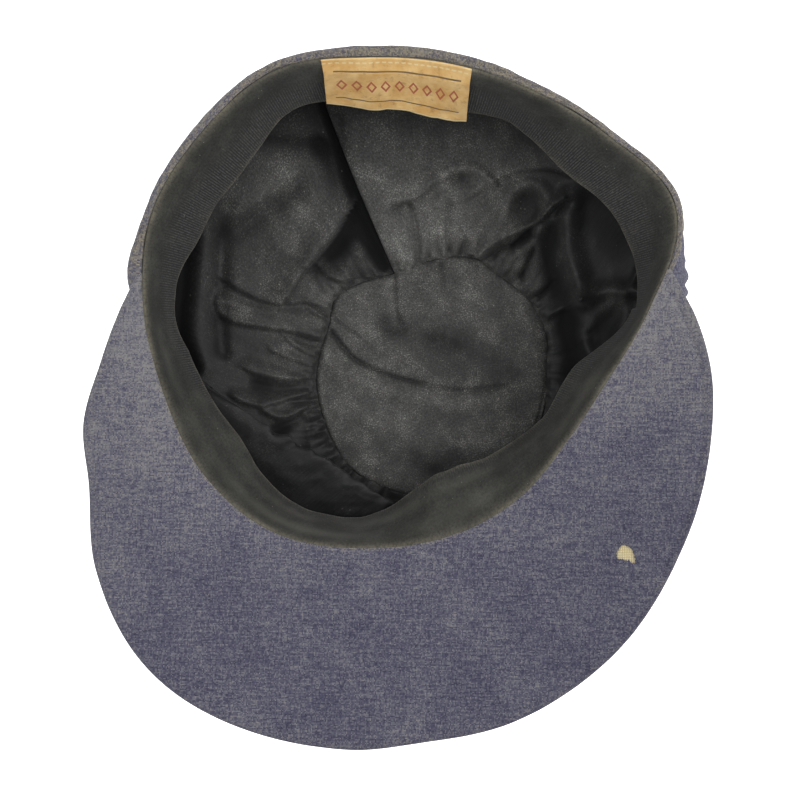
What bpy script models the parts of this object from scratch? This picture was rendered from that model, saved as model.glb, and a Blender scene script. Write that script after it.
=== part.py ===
"""A soft kepi cap of blue-grey cloth, lying upside down on its round crown tip.

The crown hangs from a hemmed head band, gathered into a round tip. A wide stiffened visor runs
round the front of the rim. Inside are a ribbon sweatband, a gathered lining whose ends lap at the
back, a round lining tip and a small woven label. Metres, +Z up, the visor towards -Y. The origin
is the centre of the crown tip, on the surface that the cap rests on.
"""

import math

import bmesh
import bpy
from mathutils import Vector

# Driving sizes, in metres
HEAD_CIRCUMFERENCE = 0.5715  # a hat size of 22 1/2 inches
RIM_EASE = 0.0024  # the rim's seam outside the head's own line
FRONT_HEIGHT = 0.048  # the rim above the surface, at the visor
BACK_HEIGHT = 0.092  # the rim above the surface, at the back
RIM_SHIFT_BACK = 0.0248  # the rim's centre behind the tip's
RIM_SHIFT_LEFT = 0.0100  # the rim's centre to the left of the tip's
TIP_DIAMETER = 0.095
BAND_DEPTH = 0.028
HEM_CORE = 0.0030  # the hollow inside the hem's fold
HEM_TURN_IN = 0.0080
RIBBON_WIDTH = 0.0254
CROWN_FOOT = 0.0090  # what lies almost flat round the tip
SLUMP = 0.010  # how far the crown sags out past the band
GATHER_DEPTH = 0.0030
FOLD_HEIGHT = 0.0060
BRIM_DEPTH = 0.0740
BRIM_LIFT = 0.0180  # the visor's edge above the rim
BRIM_EDGE_SEAM = 0.0050
CANVAS_INSET = 0.0065  # from the seam's inner line to the canvas's edge
LINING_SLACK = 0.0040  # between the crown and the lining
LINING_TUCK = 0.0080  # the lining that goes up behind the sweatband
LABEL_WIDTH = 0.0530
LABEL_HEIGHT = 0.0250
LABEL_STAND_OFF = 0.0045  # its free lower edge, away from the sweatband
CANVAS_END = 0.0184  # along the rim, from the visor's ends to the canvas's
MOTH_HOLE_WIDTH = 0.0060
MOTH_HOLE_HEIGHT = 0.0044
MOTH_HOLE_OUT = 0.0422  # from the rim out to the hole's middle

# Thicknesses and clearances, in metres
CLOTH = 0.0013
CANVAS = 0.0010
RIBBON = 0.0010
LINING = 0.0010
LABEL = 0.0010
GAP = 0.0004

# Where things are, as bearings in degrees round the rim's centre: 0 is +X, 270 is the front
BRIM_LEFT_END = 177
BRIM_RIGHT_END = 368
LAP_BEARING = 108.5
LAP_OVERLAP = 5
LABEL_BEARING = 92.5
MOTH_HOLE_BEARING = 311.3

# How fine each sheet is
GATHERS = 21
CROWN_COLUMNS = 4 * GATHERS
BAND_COLUMNS = 60
BRIM_COLUMNS = 36
BRIM_ROWS = 5
TIP_SIDES = 40

BRIM_STACK = 2 * CLOTH + CANVAS + 2 * GAP

# The rim, every 20 degrees. reach: share of the rim's mean radius. ribbon_in and band_in: how
# far the sweatband and the head band lean in, as shares of their widths. roll: share of the
# hem's core. slump: share of SLUMP.
RIM_COLUMNS = ("bearing", "reach", "ribbon_in", "band_in", "roll", "slump")
RIM = (
    (0, 0.993, 0.10, 0.10, 0.5, 1.60),
    (20, 1.155, 0.70, 0.22, 0.2, 0.90),
    (40, 1.056, 0.66, 0.28, 0.3, 0.80),
    (60, 0.991, 0.41, 0.20, 0.6, 0.90),
    (80, 0.976, 0.51, 0.20, 1.0, 1.00),
    (100, 1.002, 0.51, 0.25, 1.0, 1.00),
    (120, 1.080, 0.45, 0.25, 0.6, 0.90),
    (140, 1.087, 0.70, 0.30, 0.6, 0.70),
    (160, 1.112, 0.64, 0.30, 0.4, 0.60),
    (180, 1.089, 0.32, 0.16, 0.8, 0.60),
    (200, 1.079, 0.49, 0.18, 0.8, 0.60),
    (220, 1.106, 0.66, 0.22, 0.8, 0.60),
    (240, 1.096, 0.42, 0.20, 0.8, 0.60),
    (260, 1.025, 0.43, 0.12, 0.8, 0.60),
    (280, 0.973, 0.90, 0.12, 0.8, 0.60),
    (300, 0.917, 0.69, 0.08, 0.8, 0.70),
    (320, 0.860, 0.41, 0.08, 0.8, 0.80),
    (340, 0.875, 0.42, 0.12, 0.8, 1.10),
)

# The visor's outer edge. depth: share of BRIM_DEPTH. lift: share of BRIM_LIFT.
BRIM_COLUMN_NAMES = ("bearing", "depth", "lift")
BRIM_EDGE = (
    (177, 0.075, 0.00),
    (190, 0.240, 0.45),
    (200, 0.405, 0.80),
    (210, 0.500, 1.00),
    (220, 0.685, 1.05),
    (233, 0.872, 1.00),
    (247, 0.963, 0.90),
    (262, 1.000, 0.85),
    (272, 0.975, 0.80),
    (284, 0.973, 0.80),
    (300, 0.899, 0.90),
    (315, 0.786, 1.00),
    (330, 0.646, 0.95),
    (345, 0.464, 0.70),
    (357, 0.251, 0.35),
    (368, 0.020, 0.00),
)

# The head band's outer face, from the crown seam over the hem to its turned-in edge. roll: share
# of the hem's width. lean: share of the band's lean. down: share of BAND_DEPTH, or of the turn-in
# on the rows marked inner.
BAND_SECTION = (
    {"roll": 1.00, "lean": 1.00, "down": 1.00, "inner": False},
    {"roll": 1.03, "lean": 0.50, "down": 0.50, "inner": False},
    {"roll": 1.00, "lean": 0.10, "down": 0.14, "inner": False},
    {"roll": 0.82, "lean": 0.00, "down": 0.03, "inner": False},
    {"roll": 0.48, "lean": 0.00, "down": 0.00, "inner": False},
    {"roll": 0.16, "lean": 0.00, "down": 0.12, "inner": True},
    {"roll": 0.06, "lean": 0.00, "down": 1.00, "inner": True},
)

# The crown's outer face, from the tip seam up to the band. foot: share of CROWN_FOOT, where it
# lies almost flat. reach: share of the way from there out to the band seam. height: share of the
# band seam's height. slump and gather: shares of SLUMP and GATHER_DEPTH.
CROWN_SECTION = (
    {"foot": 0.0, "reach": 0.00, "height": 0.000, "slump": 0.00, "gather": 0.00},
    {"foot": 0.8, "reach": 0.05, "height": 0.012, "slump": 0.00, "gather": 0.80},
    {"foot": 1.0, "reach": 0.35, "height": 0.060, "slump": 0.15, "gather": 0.80},
    {"foot": 1.0, "reach": 0.68, "height": 0.170, "slump": 0.50, "gather": 0.45},
    {"foot": 1.0, "reach": 0.91, "height": 0.340, "slump": 0.90, "gather": 0.35},
    {"foot": 1.0, "reach": 1.00, "height": 0.560, "slump": 1.00, "gather": 0.55},
    {"foot": 1.0, "reach": 1.02, "height": 0.800, "slump": 0.70, "gather": 0.80},
    {"foot": 1.0, "reach": 1.00, "height": 1.000, "slump": 0.00, "gather": 0.10},
)

# The lining's side, on the crown's inner face. along: share of the crown's section. inset: share
# of LINING_SLACK. gather: share of GATHER_DEPTH. overhang: how far the slack cloth at the front
# left is pulled in to its straight fold.
LINING_SECTION = (
    {"along": 0.00, "inset": 0.55, "gather": 0.20, "overhang": 0.0},
    {"along": 0.14, "inset": 0.75, "gather": 0.90, "overhang": 0.0},
    {"along": 0.30, "inset": 1.00, "gather": 0.90, "overhang": 0.55},
    {"along": 0.46, "inset": 1.10, "gather": 0.70, "overhang": 1.0},
    {"along": 0.62, "inset": 1.10, "gather": 0.45, "overhang": 0.8},
    {"along": 0.78, "inset": 1.00, "gather": 0.25, "overhang": 0.35},
    {"along": 0.94, "inset": 0.80, "gather": 0.10, "overhang": 0.05},
)

# The lining's main folds, drawn up off the crown. bearing and along: the fold's middle. slant: how
# many degrees it turns over the whole section. width: in degrees. spread: share of the section.
# lift: share of FOLD_HEIGHT.
LINING_FOLDS = (
    {"bearing": 150, "along": 0.36, "slant": -70, "width": 8, "spread": 0.30, "lift": 1.00},
    {"bearing": 176, "along": 0.30, "slant": 8, "width": 7, "spread": 0.35, "lift": 0.90},
    {"bearing": 192, "along": 0.22, "slant": -30, "width": 7, "spread": 0.30, "lift": 0.70},
    {"bearing": 74, "along": 0.42, "slant": 50, "width": 10, "spread": 0.16, "lift": 0.80},
    {"bearing": 52, "along": 0.30, "slant": -20, "width": 8, "spread": 0.28, "lift": 0.80},
    {"bearing": 30, "along": 0.45, "slant": -60, "width": 9, "spread": 0.30, "lift": 0.90},
    {"bearing": 2, "along": 0.50, "slant": 35, "width": 8, "spread": 0.30, "lift": 0.50},
    {"bearing": 222, "along": 0.16, "slant": 0, "width": 6, "spread": 0.16, "lift": 0.50},
)
OVERHANG_BEARING = 237  # the fold's own direction from the tip's centre
OVERHANG_CLEAR = 0.0035  # the fold's distance outside the tip seam
OVERHANG_RISE = 0.0060

# Creases in the lining's tip. bearing: the way it runs. offset: its distance from the centre, as
# a share of the tip's radius. width: share of that radius. lift: share of GATHER_DEPTH.
TIP_CREASES = (
    {"bearing": -12, "offset": -0.05, "width": 0.16, "lift": 0.55},
    {"bearing": 22, "offset": -0.42, "width": 0.22, "lift": 0.35},
    {"bearing": 96, "offset": 0.10, "width": 0.14, "lift": 0.35},
    {"bearing": 118, "offset": -0.45, "width": 0.16, "lift": 0.40},
)


def unit(bearing):
    """The level direction out from the rim's centre at a bearing in degrees."""
    angle = math.radians(bearing)
    return Vector((math.cos(angle), math.sin(angle), 0.0))


def smooth_step(low, high, value):
    """0 below low, 1 above high, and a smooth rise between them."""
    share = min(1.0, max(0.0, (value - low) / (high - low)))
    return share * share * (3.0 - 2.0 * share)


def through(knots, values, at):
    """The value at a place on the smooth curve through the knots, which are in rising order."""
    at = min(max(at, knots[0]), knots[-1])
    index = max(i for i in range(len(knots) - 1) if knots[i] <= at)
    span = knots[index + 1] - knots[index]
    share = (at - knots[index]) / span

    def slope(i):
        low, high = max(i - 1, 0), min(i + 1, len(knots) - 1)
        return (values[high] - values[low]) / (knots[high] - knots[low]) * span

    cubic = share * share * (3 - 2 * share)
    bend_in = share * (1 - share) ** 2 * slope(index)
    bend_out = share * share * (share - 1) * slope(index + 1)
    return values[index] + (values[index + 1] - values[index]) * cubic + bend_in + bend_out


def at_rim(column, bearing):
    """A column of the rim's table at any bearing, on a smooth curve that closes on itself."""
    place = RIM_COLUMNS.index(column)
    rows = [(row[0] + turn, row[place]) for turn in (-360, 0, 360) for row in RIM]
    return through([row[0] for row in rows], [row[1] for row in rows], bearing % 360)


def at_brim(column, bearing):
    """A column of the visor's table at a bearing between its two ends."""
    place = BRIM_COLUMN_NAMES.index(column)
    return through([row[0] for row in BRIM_EDGE], [row[place] for row in BRIM_EDGE], bearing)


def outline(radius):
    """The rim's outline at a mean radius, tilted from the front height to the back height."""
    level = []
    for bearing in range(0, 360, 5):
        point = unit(bearing) * radius * at_rim("reach", bearing)
        level.append(point + Vector((-RIM_SHIFT_LEFT, RIM_SHIFT_BACK, 0.0)))
    front, back = min(p.y for p in level), max(p.y for p in level)
    slope = (BACK_HEIGHT - FRONT_HEIGHT) / (back - front)
    return [Vector((p.x, p.y, FRONT_HEIGHT + (p.y - front) * slope)) for p in level], front, slope


def rim_radius():
    """The mean radius at which the tilted outline goes round the head with its ease."""
    seam_length = HEAD_CIRCUMFERENCE + math.tau * RIM_EASE
    radius = seam_length / math.tau
    for _ in range(6):
        points = outline(radius)[0]
        length = sum((a - b).length for a, b in zip(points, points[1:] + points[:1]))
        radius *= seam_length / length
    return radius


RIM_RADIUS = rim_radius()
_, RIM_FRONT, RIM_SLOPE = outline(RIM_RADIUS)


def rim_point(bearing):
    """The seam where the sweatband meets the outer cloth."""
    point = unit(bearing) * RIM_RADIUS * at_rim("reach", bearing)
    x, y = point.x - RIM_SHIFT_LEFT, point.y + RIM_SHIFT_BACK
    return Vector((x, y, FRONT_HEIGHT + (y - RIM_FRONT) * RIM_SLOPE))


def hem_width(bearing):
    """The hem's width: two thicknesses of cloth and the hollow between them."""
    return 2 * CLOTH + HEM_CORE * at_rim("roll", bearing)


def band_lean(bearing):
    """How far in the head band leans by its lower edge."""
    return at_rim("band_in", bearing) * BAND_DEPTH


def under_brim(bearing):
    """How far the hem is lowered, to seat the visor on it."""
    bearing = bearing % 360
    if bearing < 90:
        bearing += 360
    rise = smooth_step(BRIM_LEFT_END - 9, BRIM_LEFT_END - 2, bearing)
    fall = 1 - smooth_step(BRIM_RIGHT_END + 2, BRIM_RIGHT_END + 9, bearing)
    return (BRIM_STACK + GAP) * rise * fall


def band_point(bearing, row):
    """A point of the head band's outer face."""
    out = row["roll"] * hem_width(bearing) - row["lean"] * band_lean(bearing)
    seat = under_brim(bearing)
    if row["inner"]:
        down = seat + row["down"] * HEM_TURN_IN
    else:
        down = seat + row["down"] * (BAND_DEPTH - seat)
    return rim_point(bearing) + unit(bearing) * out - Vector((0, 0, down))


def band_seam(bearing):
    """The crown's upper edge, just below the head band."""
    seam = band_point(bearing, BAND_SECTION[0])
    return seam - Vector((0, 0, GAP))


def crown_row(column, along):
    """A column of the crown's section at a share of the way from the tip seam to the band."""
    knots = [i / (len(CROWN_SECTION) - 1) for i in range(len(CROWN_SECTION))]
    return through(knots, [row[column] for row in CROWN_SECTION], along)


def crown_base(bearing, along):
    """The crown's outer face without its gathers."""
    away = unit(bearing)
    tip = away * (TIP_DIAMETER / 2 + 2 * GAP)
    foot = tip + away * CROWN_FOOT
    seam = band_seam(bearing)
    way = Vector((seam.x - foot.x, seam.y - foot.y, 0.0))
    slump = crown_row("slump", along) * at_rim("slump", bearing) * SLUMP
    out = away * (crown_row("foot", along) * CROWN_FOOT + slump)
    point = tip + out + way * crown_row("reach", along)
    point.z = GAP / 2 + crown_row("height", along) * (seam.z - GAP / 2)
    return point


def inward(bearing, along):
    """The direction from the crown's face into the cap."""
    step = 0.02
    low, high = max(along - step, 0.0), min(along + step, 1.0)
    up = crown_base(bearing, high) - crown_base(bearing, low)
    round_rim = crown_base(bearing + 1, along) - crown_base(bearing - 1, along)
    return up.cross(round_rim).normalized()


def gather(bearing, count, shift=0.0):
    """0 between the gathers and 1 on them, with every third one lower."""
    wave = 0.5 - 0.5 * math.cos(math.radians(bearing * count) + shift)
    return wave * (0.75 + 0.25 * math.cos(math.radians(bearing * count / 3)))


def crown_point(bearing, along):
    """The crown's outer face, gathered at the tip and at the band."""
    fold = GATHER_DEPTH * crown_row("gather", along) * gather(bearing, GATHERS)
    return crown_base(bearing, along) + inward(bearing, along) * fold


def lap_lift(bearing):
    """The lining's last stretch rises over its first one."""
    end = LAP_BEARING + 360
    return smooth_step(end - 30, end - 4, bearing)


def overhang(point, weight):
    """Slack cloth pulled in to the straight fold at the front left, and a little up."""
    away = unit(OVERHANG_BEARING)
    past = point.dot(away) - (TIP_DIAMETER / 2 + OVERHANG_CLEAR)
    if past <= 0:
        return point
    rise = OVERHANG_RISE * smooth_step(0.0, 0.02, past)
    return point - away * past * weight + Vector((0, 0, rise * weight))


def fold_lift(bearing, along):
    """How far the lining's main folds stand off the crown at a place, as a share of the tallest."""
    total = 0.0
    for fold in LINING_FOLDS:
        middle = fold["bearing"] + fold["slant"] * (along - fold["along"])
        across = ((bearing - middle + 180) % 360 - 180) / fold["width"]
        level = (along - fold["along"]) / fold["spread"]
        total += fold["lift"] * math.exp(-across * across - level * level)
    return total


def lining_point(bearing, row):
    """The lining's outer face. Its ends lap, so the bearing runs past a full turn."""
    along = row["along"]
    inset = CLOTH + GAP + LINING_SLACK * row["inset"] + GATHER_DEPTH * crown_row("gather", along)
    fold = GATHER_DEPTH * row["gather"] * gather(bearing, GATHERS, 1.2)
    lap = lap_lift(bearing) * (LINING + 3 * GAP + GATHER_DEPTH * row["gather"])
    upright = Vector((0, 0, 1)).lerp(inward(bearing, along), smooth_step(0.0, 0.3, along))
    raised = FOLD_HEIGHT * fold_lift(bearing, along) * smooth_step(0.0, 0.15, along)
    point = crown_base(bearing, along) + upright * (inset + fold + lap + raised)
    return overhang(point, row["overhang"])


def lining_tuck(bearing, share):
    """The lining's upper edge, behind the sweatband."""
    band = band_point(bearing, BAND_SECTION[0])
    top = band_point(bearing, BAND_SECTION[1])
    level = LINING_TUCK * share / BAND_DEPTH * 2
    face = band.lerp(top, level)
    lap = lap_lift(bearing) * (LINING + 2 * GAP)
    return face - unit(bearing) * (CLOTH + 3 * GAP + lap)


def ribbon_point(bearing, share):
    """The sweatband's outer face, from the rim down to its free edge."""
    lean = at_rim("ribbon_in", bearing)
    inward_run = RIBBON_WIDTH * lean * share
    drop = RIBBON_WIDTH * math.sqrt(1 - lean * lean) * share
    out = -GAP / 2 - inward_run
    return rim_point(bearing) + unit(bearing) * out - Vector((0, 0, GAP + drop))


def brim_point(bearing, out, below):
    """The visor at a distance out from the rim, and a distance below its upward face."""
    depth = at_brim("depth", bearing) * BRIM_DEPTH
    share = min(1.0, out / depth)
    lift = at_brim("lift", bearing) * BRIM_LIFT * share**1.4
    return rim_point(bearing) + unit(bearing) * (GAP + out) + Vector((0, 0, lift - below))


def brim_rows(bearing, count):
    """Distances out from the rim: even steps up to the edge seam, then the edge itself."""
    depth = at_brim("depth", bearing) * BRIM_DEPTH
    inner = depth - min(BRIM_EDGE_SEAM, 0.5 * depth)
    return [inner * i / (count - 1) for i in range(count)] + [depth]


def named_object(name, mesh, colour, roughness):
    """A smooth shaded object of its own material, in the cap's collection."""
    material = bpy.data.materials.new(name)
    material.use_nodes = True
    shader = material.node_tree.nodes["Principled BSDF"]
    shader.inputs["Base Color"].default_value = (*colour, 1.0)
    shader.inputs["Roughness"].default_value = roughness
    mesh.materials.append(material)
    mesh.shade_smooth()
    piece = bpy.data.objects.new(name, mesh)
    cap_collection.objects.link(piece)
    return piece


def sheet(name, rows, columns, closed, thickness, side, colour, roughness):
    """A cloth sheet lofted through rows of points, then thickened to one side."""
    mesh = bpy.data.meshes.new(name)
    form = bmesh.new()
    lines = [[form.verts.new(point) for point in row] for row in rows]
    last = columns if closed else columns - 1
    for low, high in zip(lines, lines[1:]):
        for i in range(last):
            j = (i + 1) % columns
            form.faces.new((low[i], low[j], high[j], high[i]))
    form.to_mesh(mesh)
    form.free()
    piece = named_object(name, mesh, colour, roughness)
    solid = piece.modifiers.new("thickness", "SOLIDIFY")
    solid.thickness = thickness
    solid.offset = side
    return piece


def spread(first, last, count, closed=False):
    """Evenly spaced bearings from first to last, without the last one on a closed ring."""
    steps = count if closed else count - 1
    return [first + (last - first) * i / steps for i in range(count)]


BLUE_GREY = (0.115, 0.112, 0.150)
WORN_GREY = (0.150, 0.140, 0.130)
NEAR_BLACK = (0.030, 0.030, 0.030)
CHARCOAL = (0.045, 0.045, 0.046)
TAN = (0.52, 0.36, 0.15)
CREAM = (0.58, 0.50, 0.33)


def crown_tip():
    """The round top of the crown, flattened where the cap rests on it."""
    bpy.ops.mesh.primitive_cylinder_add(
        vertices=TIP_SIDES, radius=TIP_DIAMETER / 2, depth=CLOTH, location=(0, 0, CLOTH / 2)
    )
    disc = bpy.context.object
    mesh = disc.data
    mesh.transform(disc.matrix_world)
    bpy.data.objects.remove(disc)
    mesh.name = "crown_tip"
    piece = named_object("crown_tip", mesh, BLUE_GREY, 0.9)
    mesh.set_sharp_from_angle(angle=math.radians(40))
    return piece


def crown_side():
    """The crown's side, gathered into the tip and into the head band."""
    bearings = spread(0, 360, CROWN_COLUMNS, closed=True)
    steps = len(CROWN_SECTION)
    rows = [[crown_point(b, i / (steps - 1)) for b in bearings] for i in range(steps)]
    sheet("crown_side", rows, CROWN_COLUMNS, True, CLOTH, -1, BLUE_GREY, 0.9)


def head_band():
    """The outer band, hemmed over the rim."""
    bearings = spread(0, 360, BAND_COLUMNS, closed=True)
    rows = [[band_point(b, row) for b in bearings] for row in BAND_SECTION]
    sheet("head_band", rows, BAND_COLUMNS, True, CLOTH, -1, WORN_GREY, 0.9)


def sweatband():
    """The ribbon inside the rim. Its lower edge stands free."""
    bearings = spread(0, 360, BAND_COLUMNS, closed=True)
    rows = [[ribbon_point(b, share) for b in bearings] for share in (1.0, 0.66, 0.33, 0.0)]
    sheet("sweatband", rows, BAND_COLUMNS, True, RIBBON, -1, NEAR_BLACK, 0.8)


def lining_side():
    """The gathered lining. Its two ends lap at the back."""
    columns = CROWN_COLUMNS + 2
    bearings = spread(LAP_BEARING, LAP_BEARING + 360 + LAP_OVERLAP, columns)
    rows = [[lining_point(b, row) for b in bearings] for row in LINING_SECTION]
    rows += [[lining_tuck(b, share) for b in bearings] for share in (0.35, 1.0)]
    sheet("lining_side", rows, columns, False, LINING, -1, CHARCOAL, 0.6)


def lining_tip():
    """The lining's round tip, with its creases."""
    radius = TIP_DIAMETER / 2 - 2 * GAP
    form = bmesh.new()
    bmesh.ops.create_circle(
        form, segments=TIP_SIDES, radius=radius, cap_ends=True, cap_tris=True
    )
    spokes = [e for e in form.edges if any(v.co.length < radius / 2 for v in e.verts)]
    bmesh.ops.subdivide_edges(form, edges=spokes, cuts=3)
    base = CLOTH + 2 * GAP
    for vertex in form.verts:
        vertex.co.z = base
        for crease in TIP_CREASES:
            across = unit(crease["bearing"] + 90)
            away = vertex.co.xy.dot(across.xy) / radius - crease["offset"]
            ridge = math.exp(-((away / crease["width"]) ** 2))
            edge = 1 - (vertex.co.xy.length / radius) ** 4
            vertex.co.z += GATHER_DEPTH * crease["lift"] * ridge * edge
    mesh = bpy.data.meshes.new("lining_tip")
    bmesh.ops.recalc_face_normals(form, faces=form.faces)
    form.to_mesh(mesh)
    form.free()
    piece = named_object("lining_tip", mesh, CHARCOAL, 0.6)
    solid = piece.modifiers.new("thickness", "SOLIDIFY")
    solid.thickness = LINING
    solid.offset = 1


def canvas_turn():
    """The degrees along the rim from the visor's ends to the canvas's."""
    return math.degrees(CANVAS_END / RIM_RADIUS)


def brim_cloth(name, top, tuck):
    """The visor's under or upper cloth. The upper one is tucked up to the other at the edge."""
    bearings = spread(BRIM_LEFT_END, BRIM_RIGHT_END, BRIM_COLUMNS)
    rows = []
    for i in range(BRIM_ROWS + 1):
        row = []
        for b in bearings:
            to_end = min(b - BRIM_LEFT_END, BRIM_RIGHT_END - b) / canvas_turn()
            at_end = 1 - smooth_step(0.3, 0.9, to_end)
            raised = tuck if i == BRIM_ROWS else tuck * at_end
            row.append(brim_point(b, brim_rows(b, BRIM_ROWS)[i], top - raised))
        rows.append(row)
    return sheet(name, rows, BRIM_COLUMNS, False, CLOTH, 1, BLUE_GREY, 0.9)


def brim_canvas():
    """The canvas that stiffens the visor, inside its edge seam."""
    first, last = BRIM_LEFT_END + canvas_turn(), BRIM_RIGHT_END - canvas_turn()
    bearings = spread(first, last, BRIM_COLUMNS)
    level = CLOTH + GAP
    rows = []
    for i in range(BRIM_ROWS):
        row = []
        for b in bearings:
            inner = brim_rows(b, BRIM_ROWS)[BRIM_ROWS - 1] - CANVAS_INSET
            row.append(brim_point(b, inner * i / (BRIM_ROWS - 1), level))
        rows.append(row)
    sheet("brim_canvas", rows, BRIM_COLUMNS, False, CANVAS, 1, CREAM, 0.9)


def brim():
    """The visor: under cloth, canvas and upper cloth, sewn together round its edge."""
    under = brim_cloth("brim_under", 0.0, 0.0)
    brim_canvas()
    brim_cloth("brim_top", BRIM_STACK - CLOTH, CANVAS + GAP)
    return under


def moth_hole(under):
    """A small bean-shaped hole through the visor's under cloth."""
    centre = brim_point(MOTH_HOLE_BEARING, MOTH_HOLE_OUT, 0.0)
    bpy.ops.mesh.primitive_cylinder_add(vertices=14, radius=0.5, depth=1.0, location=centre)
    cutter = bpy.context.object
    cutter.name = "moth_hole_cutter"
    size = Vector((MOTH_HOLE_WIDTH, MOTH_HOLE_HEIGHT, 6 * CLOTH))
    for vertex in cutter.data.vertices:
        vertex.co = vertex.co * size
        bow = 1 - (2 * vertex.co.x / MOTH_HOLE_WIDTH) ** 2
        if vertex.co.y < 0:
            vertex.co.y += bow * 0.35 * MOTH_HOLE_HEIGHT
    cutter.hide_render = True
    cutter.display_type = "WIRE"
    for collection in cutter.users_collection:
        collection.objects.unlink(cutter)
    cutter_collection.objects.link(cutter)
    hole = under.modifiers.new("moth_hole", "BOOLEAN")
    hole.operation = "DIFFERENCE"
    hole.object = cutter


def label():
    """The small woven label, sewn to the sweatband at the back."""
    half = math.degrees(LABEL_WIDTH / 2 / (RIM_RADIUS * at_rim("reach", LABEL_BEARING)))
    bearings = spread(LABEL_BEARING - half, LABEL_BEARING + half, 11)
    rows = []
    for share in spread(LABEL_HEIGHT, 0.0, 5):
        row = []
        for b in bearings:
            away = RIBBON + 2 * GAP + LABEL_STAND_OFF * (share / LABEL_HEIGHT) ** 2
            row.append(ribbon_point(b, share / RIBBON_WIDTH) - unit(b) * away + Vector((0, 0, GAP)))
        rows.append(row)
    sheet("label", rows, 11, False, LABEL, -1, TAN, 0.5)


for old in list(bpy.data.objects):
    bpy.data.objects.remove(old)
cap_collection = bpy.data.collections.new("kepi_cap")
cutter_collection = bpy.data.collections.new("cutters")
bpy.context.scene.collection.children.link(cap_collection)
bpy.context.scene.collection.children.link(cutter_collection)

crown_tip()
crown_side()
head_band()
sweatband()
lining_side()
lining_tip()
moth_hole(brim())
label()
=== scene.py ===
"""The soft kepi cap, upside down on its crown tip and seen straight from above.

Metres, +Z up, the visor towards -Y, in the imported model's own frame. Every sheet of cloth is lofted
again here at a fine step, from the same sizes and curves as the solids that it stands for, and then
gets the folds, gathers, seams and wear that are too small for them.
"""

import math

import bpy
import numpy as np
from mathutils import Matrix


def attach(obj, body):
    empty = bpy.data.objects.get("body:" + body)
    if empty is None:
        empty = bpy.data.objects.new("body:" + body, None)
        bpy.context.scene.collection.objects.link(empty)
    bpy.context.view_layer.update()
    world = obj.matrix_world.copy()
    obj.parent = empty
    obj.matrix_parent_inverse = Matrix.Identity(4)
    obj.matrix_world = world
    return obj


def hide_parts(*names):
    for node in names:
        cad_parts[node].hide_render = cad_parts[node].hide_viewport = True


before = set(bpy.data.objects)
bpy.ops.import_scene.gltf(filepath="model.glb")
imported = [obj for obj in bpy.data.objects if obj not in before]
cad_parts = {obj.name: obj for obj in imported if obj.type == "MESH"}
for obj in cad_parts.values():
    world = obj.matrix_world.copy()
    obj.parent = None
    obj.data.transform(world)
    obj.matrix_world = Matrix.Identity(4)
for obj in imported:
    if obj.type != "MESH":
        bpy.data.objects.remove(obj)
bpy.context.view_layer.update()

MM = 0.001

# The cap's sizes, in metres
HEAD_CIRCUMFERENCE = 0.5715
RIM_EASE = 0.0024
FRONT_HEIGHT = 0.048
BACK_HEIGHT = 0.092
RIM_SHIFT_BACK = 0.0248
RIM_SHIFT_LEFT = 0.0100
TIP_DIAMETER = 0.095
BAND_DEPTH = 0.028
HEM_CORE = 0.0030
RIBBON_WIDTH = 0.0254
CROWN_FOOT = 0.0090
SLUMP = 0.010
GATHER_DEPTH = 0.0030
BRIM_DEPTH = 0.0740
BRIM_LIFT = 0.0180
LINING_SLACK = 0.0040
LINING_TUCK = 0.0080
LABEL_WIDTH = 0.0530
LABEL_HEIGHT = 0.0250
LABEL_LIFT = 0.0018
CANVAS_END = 0.0184
MOTH_HOLE_WIDTH = 0.0072
MOTH_HOLE_HEIGHT = 0.0056
MOTH_HOLE_OUT = 0.0422
CLOTH = 0.0013
CANVAS = 0.0010
RIBBON = 0.0010
GAP = 0.0004
BRIM_STACK = 2 * CLOTH + CANVAS + 2 * GAP
EDGE_RADIUS = 0.0013
EDGE_SEAM_INSET = 0.0042
EDGE_SEAM_WIDTH = 0.0011
CURL_RADIUS = 0.0006

# The cloths' sizes, in millimetres, and the walk round the rim for each degree
YARN_PITCH = 0.46
CANVAS_PITCH = 0.62
RIB_PITCH = 0.95
LABEL_MARGIN = 3.3
LABEL_LINE_INSET = 4.6
LOZENGE_STEP = 5.2
STITCH_STEP = 2.3
TIP_LEVEL = 4.4
MM_PER_DEGREE = 1.58

# Bearings in degrees round the rim's centre: 0 is +X, 270 is the front
BRIM_LEFT_END = 177
BRIM_RIGHT_END = 368
LABEL_BEARING = 92.5
MOTH_HOLE_BEARING = 311.3
GATHERS = 21

# The view, straight down from the photograph's distance
EYE = (-0.0133, -0.0094, 1.0)
LENS = 115.02
SENSOR = 36.0

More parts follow.
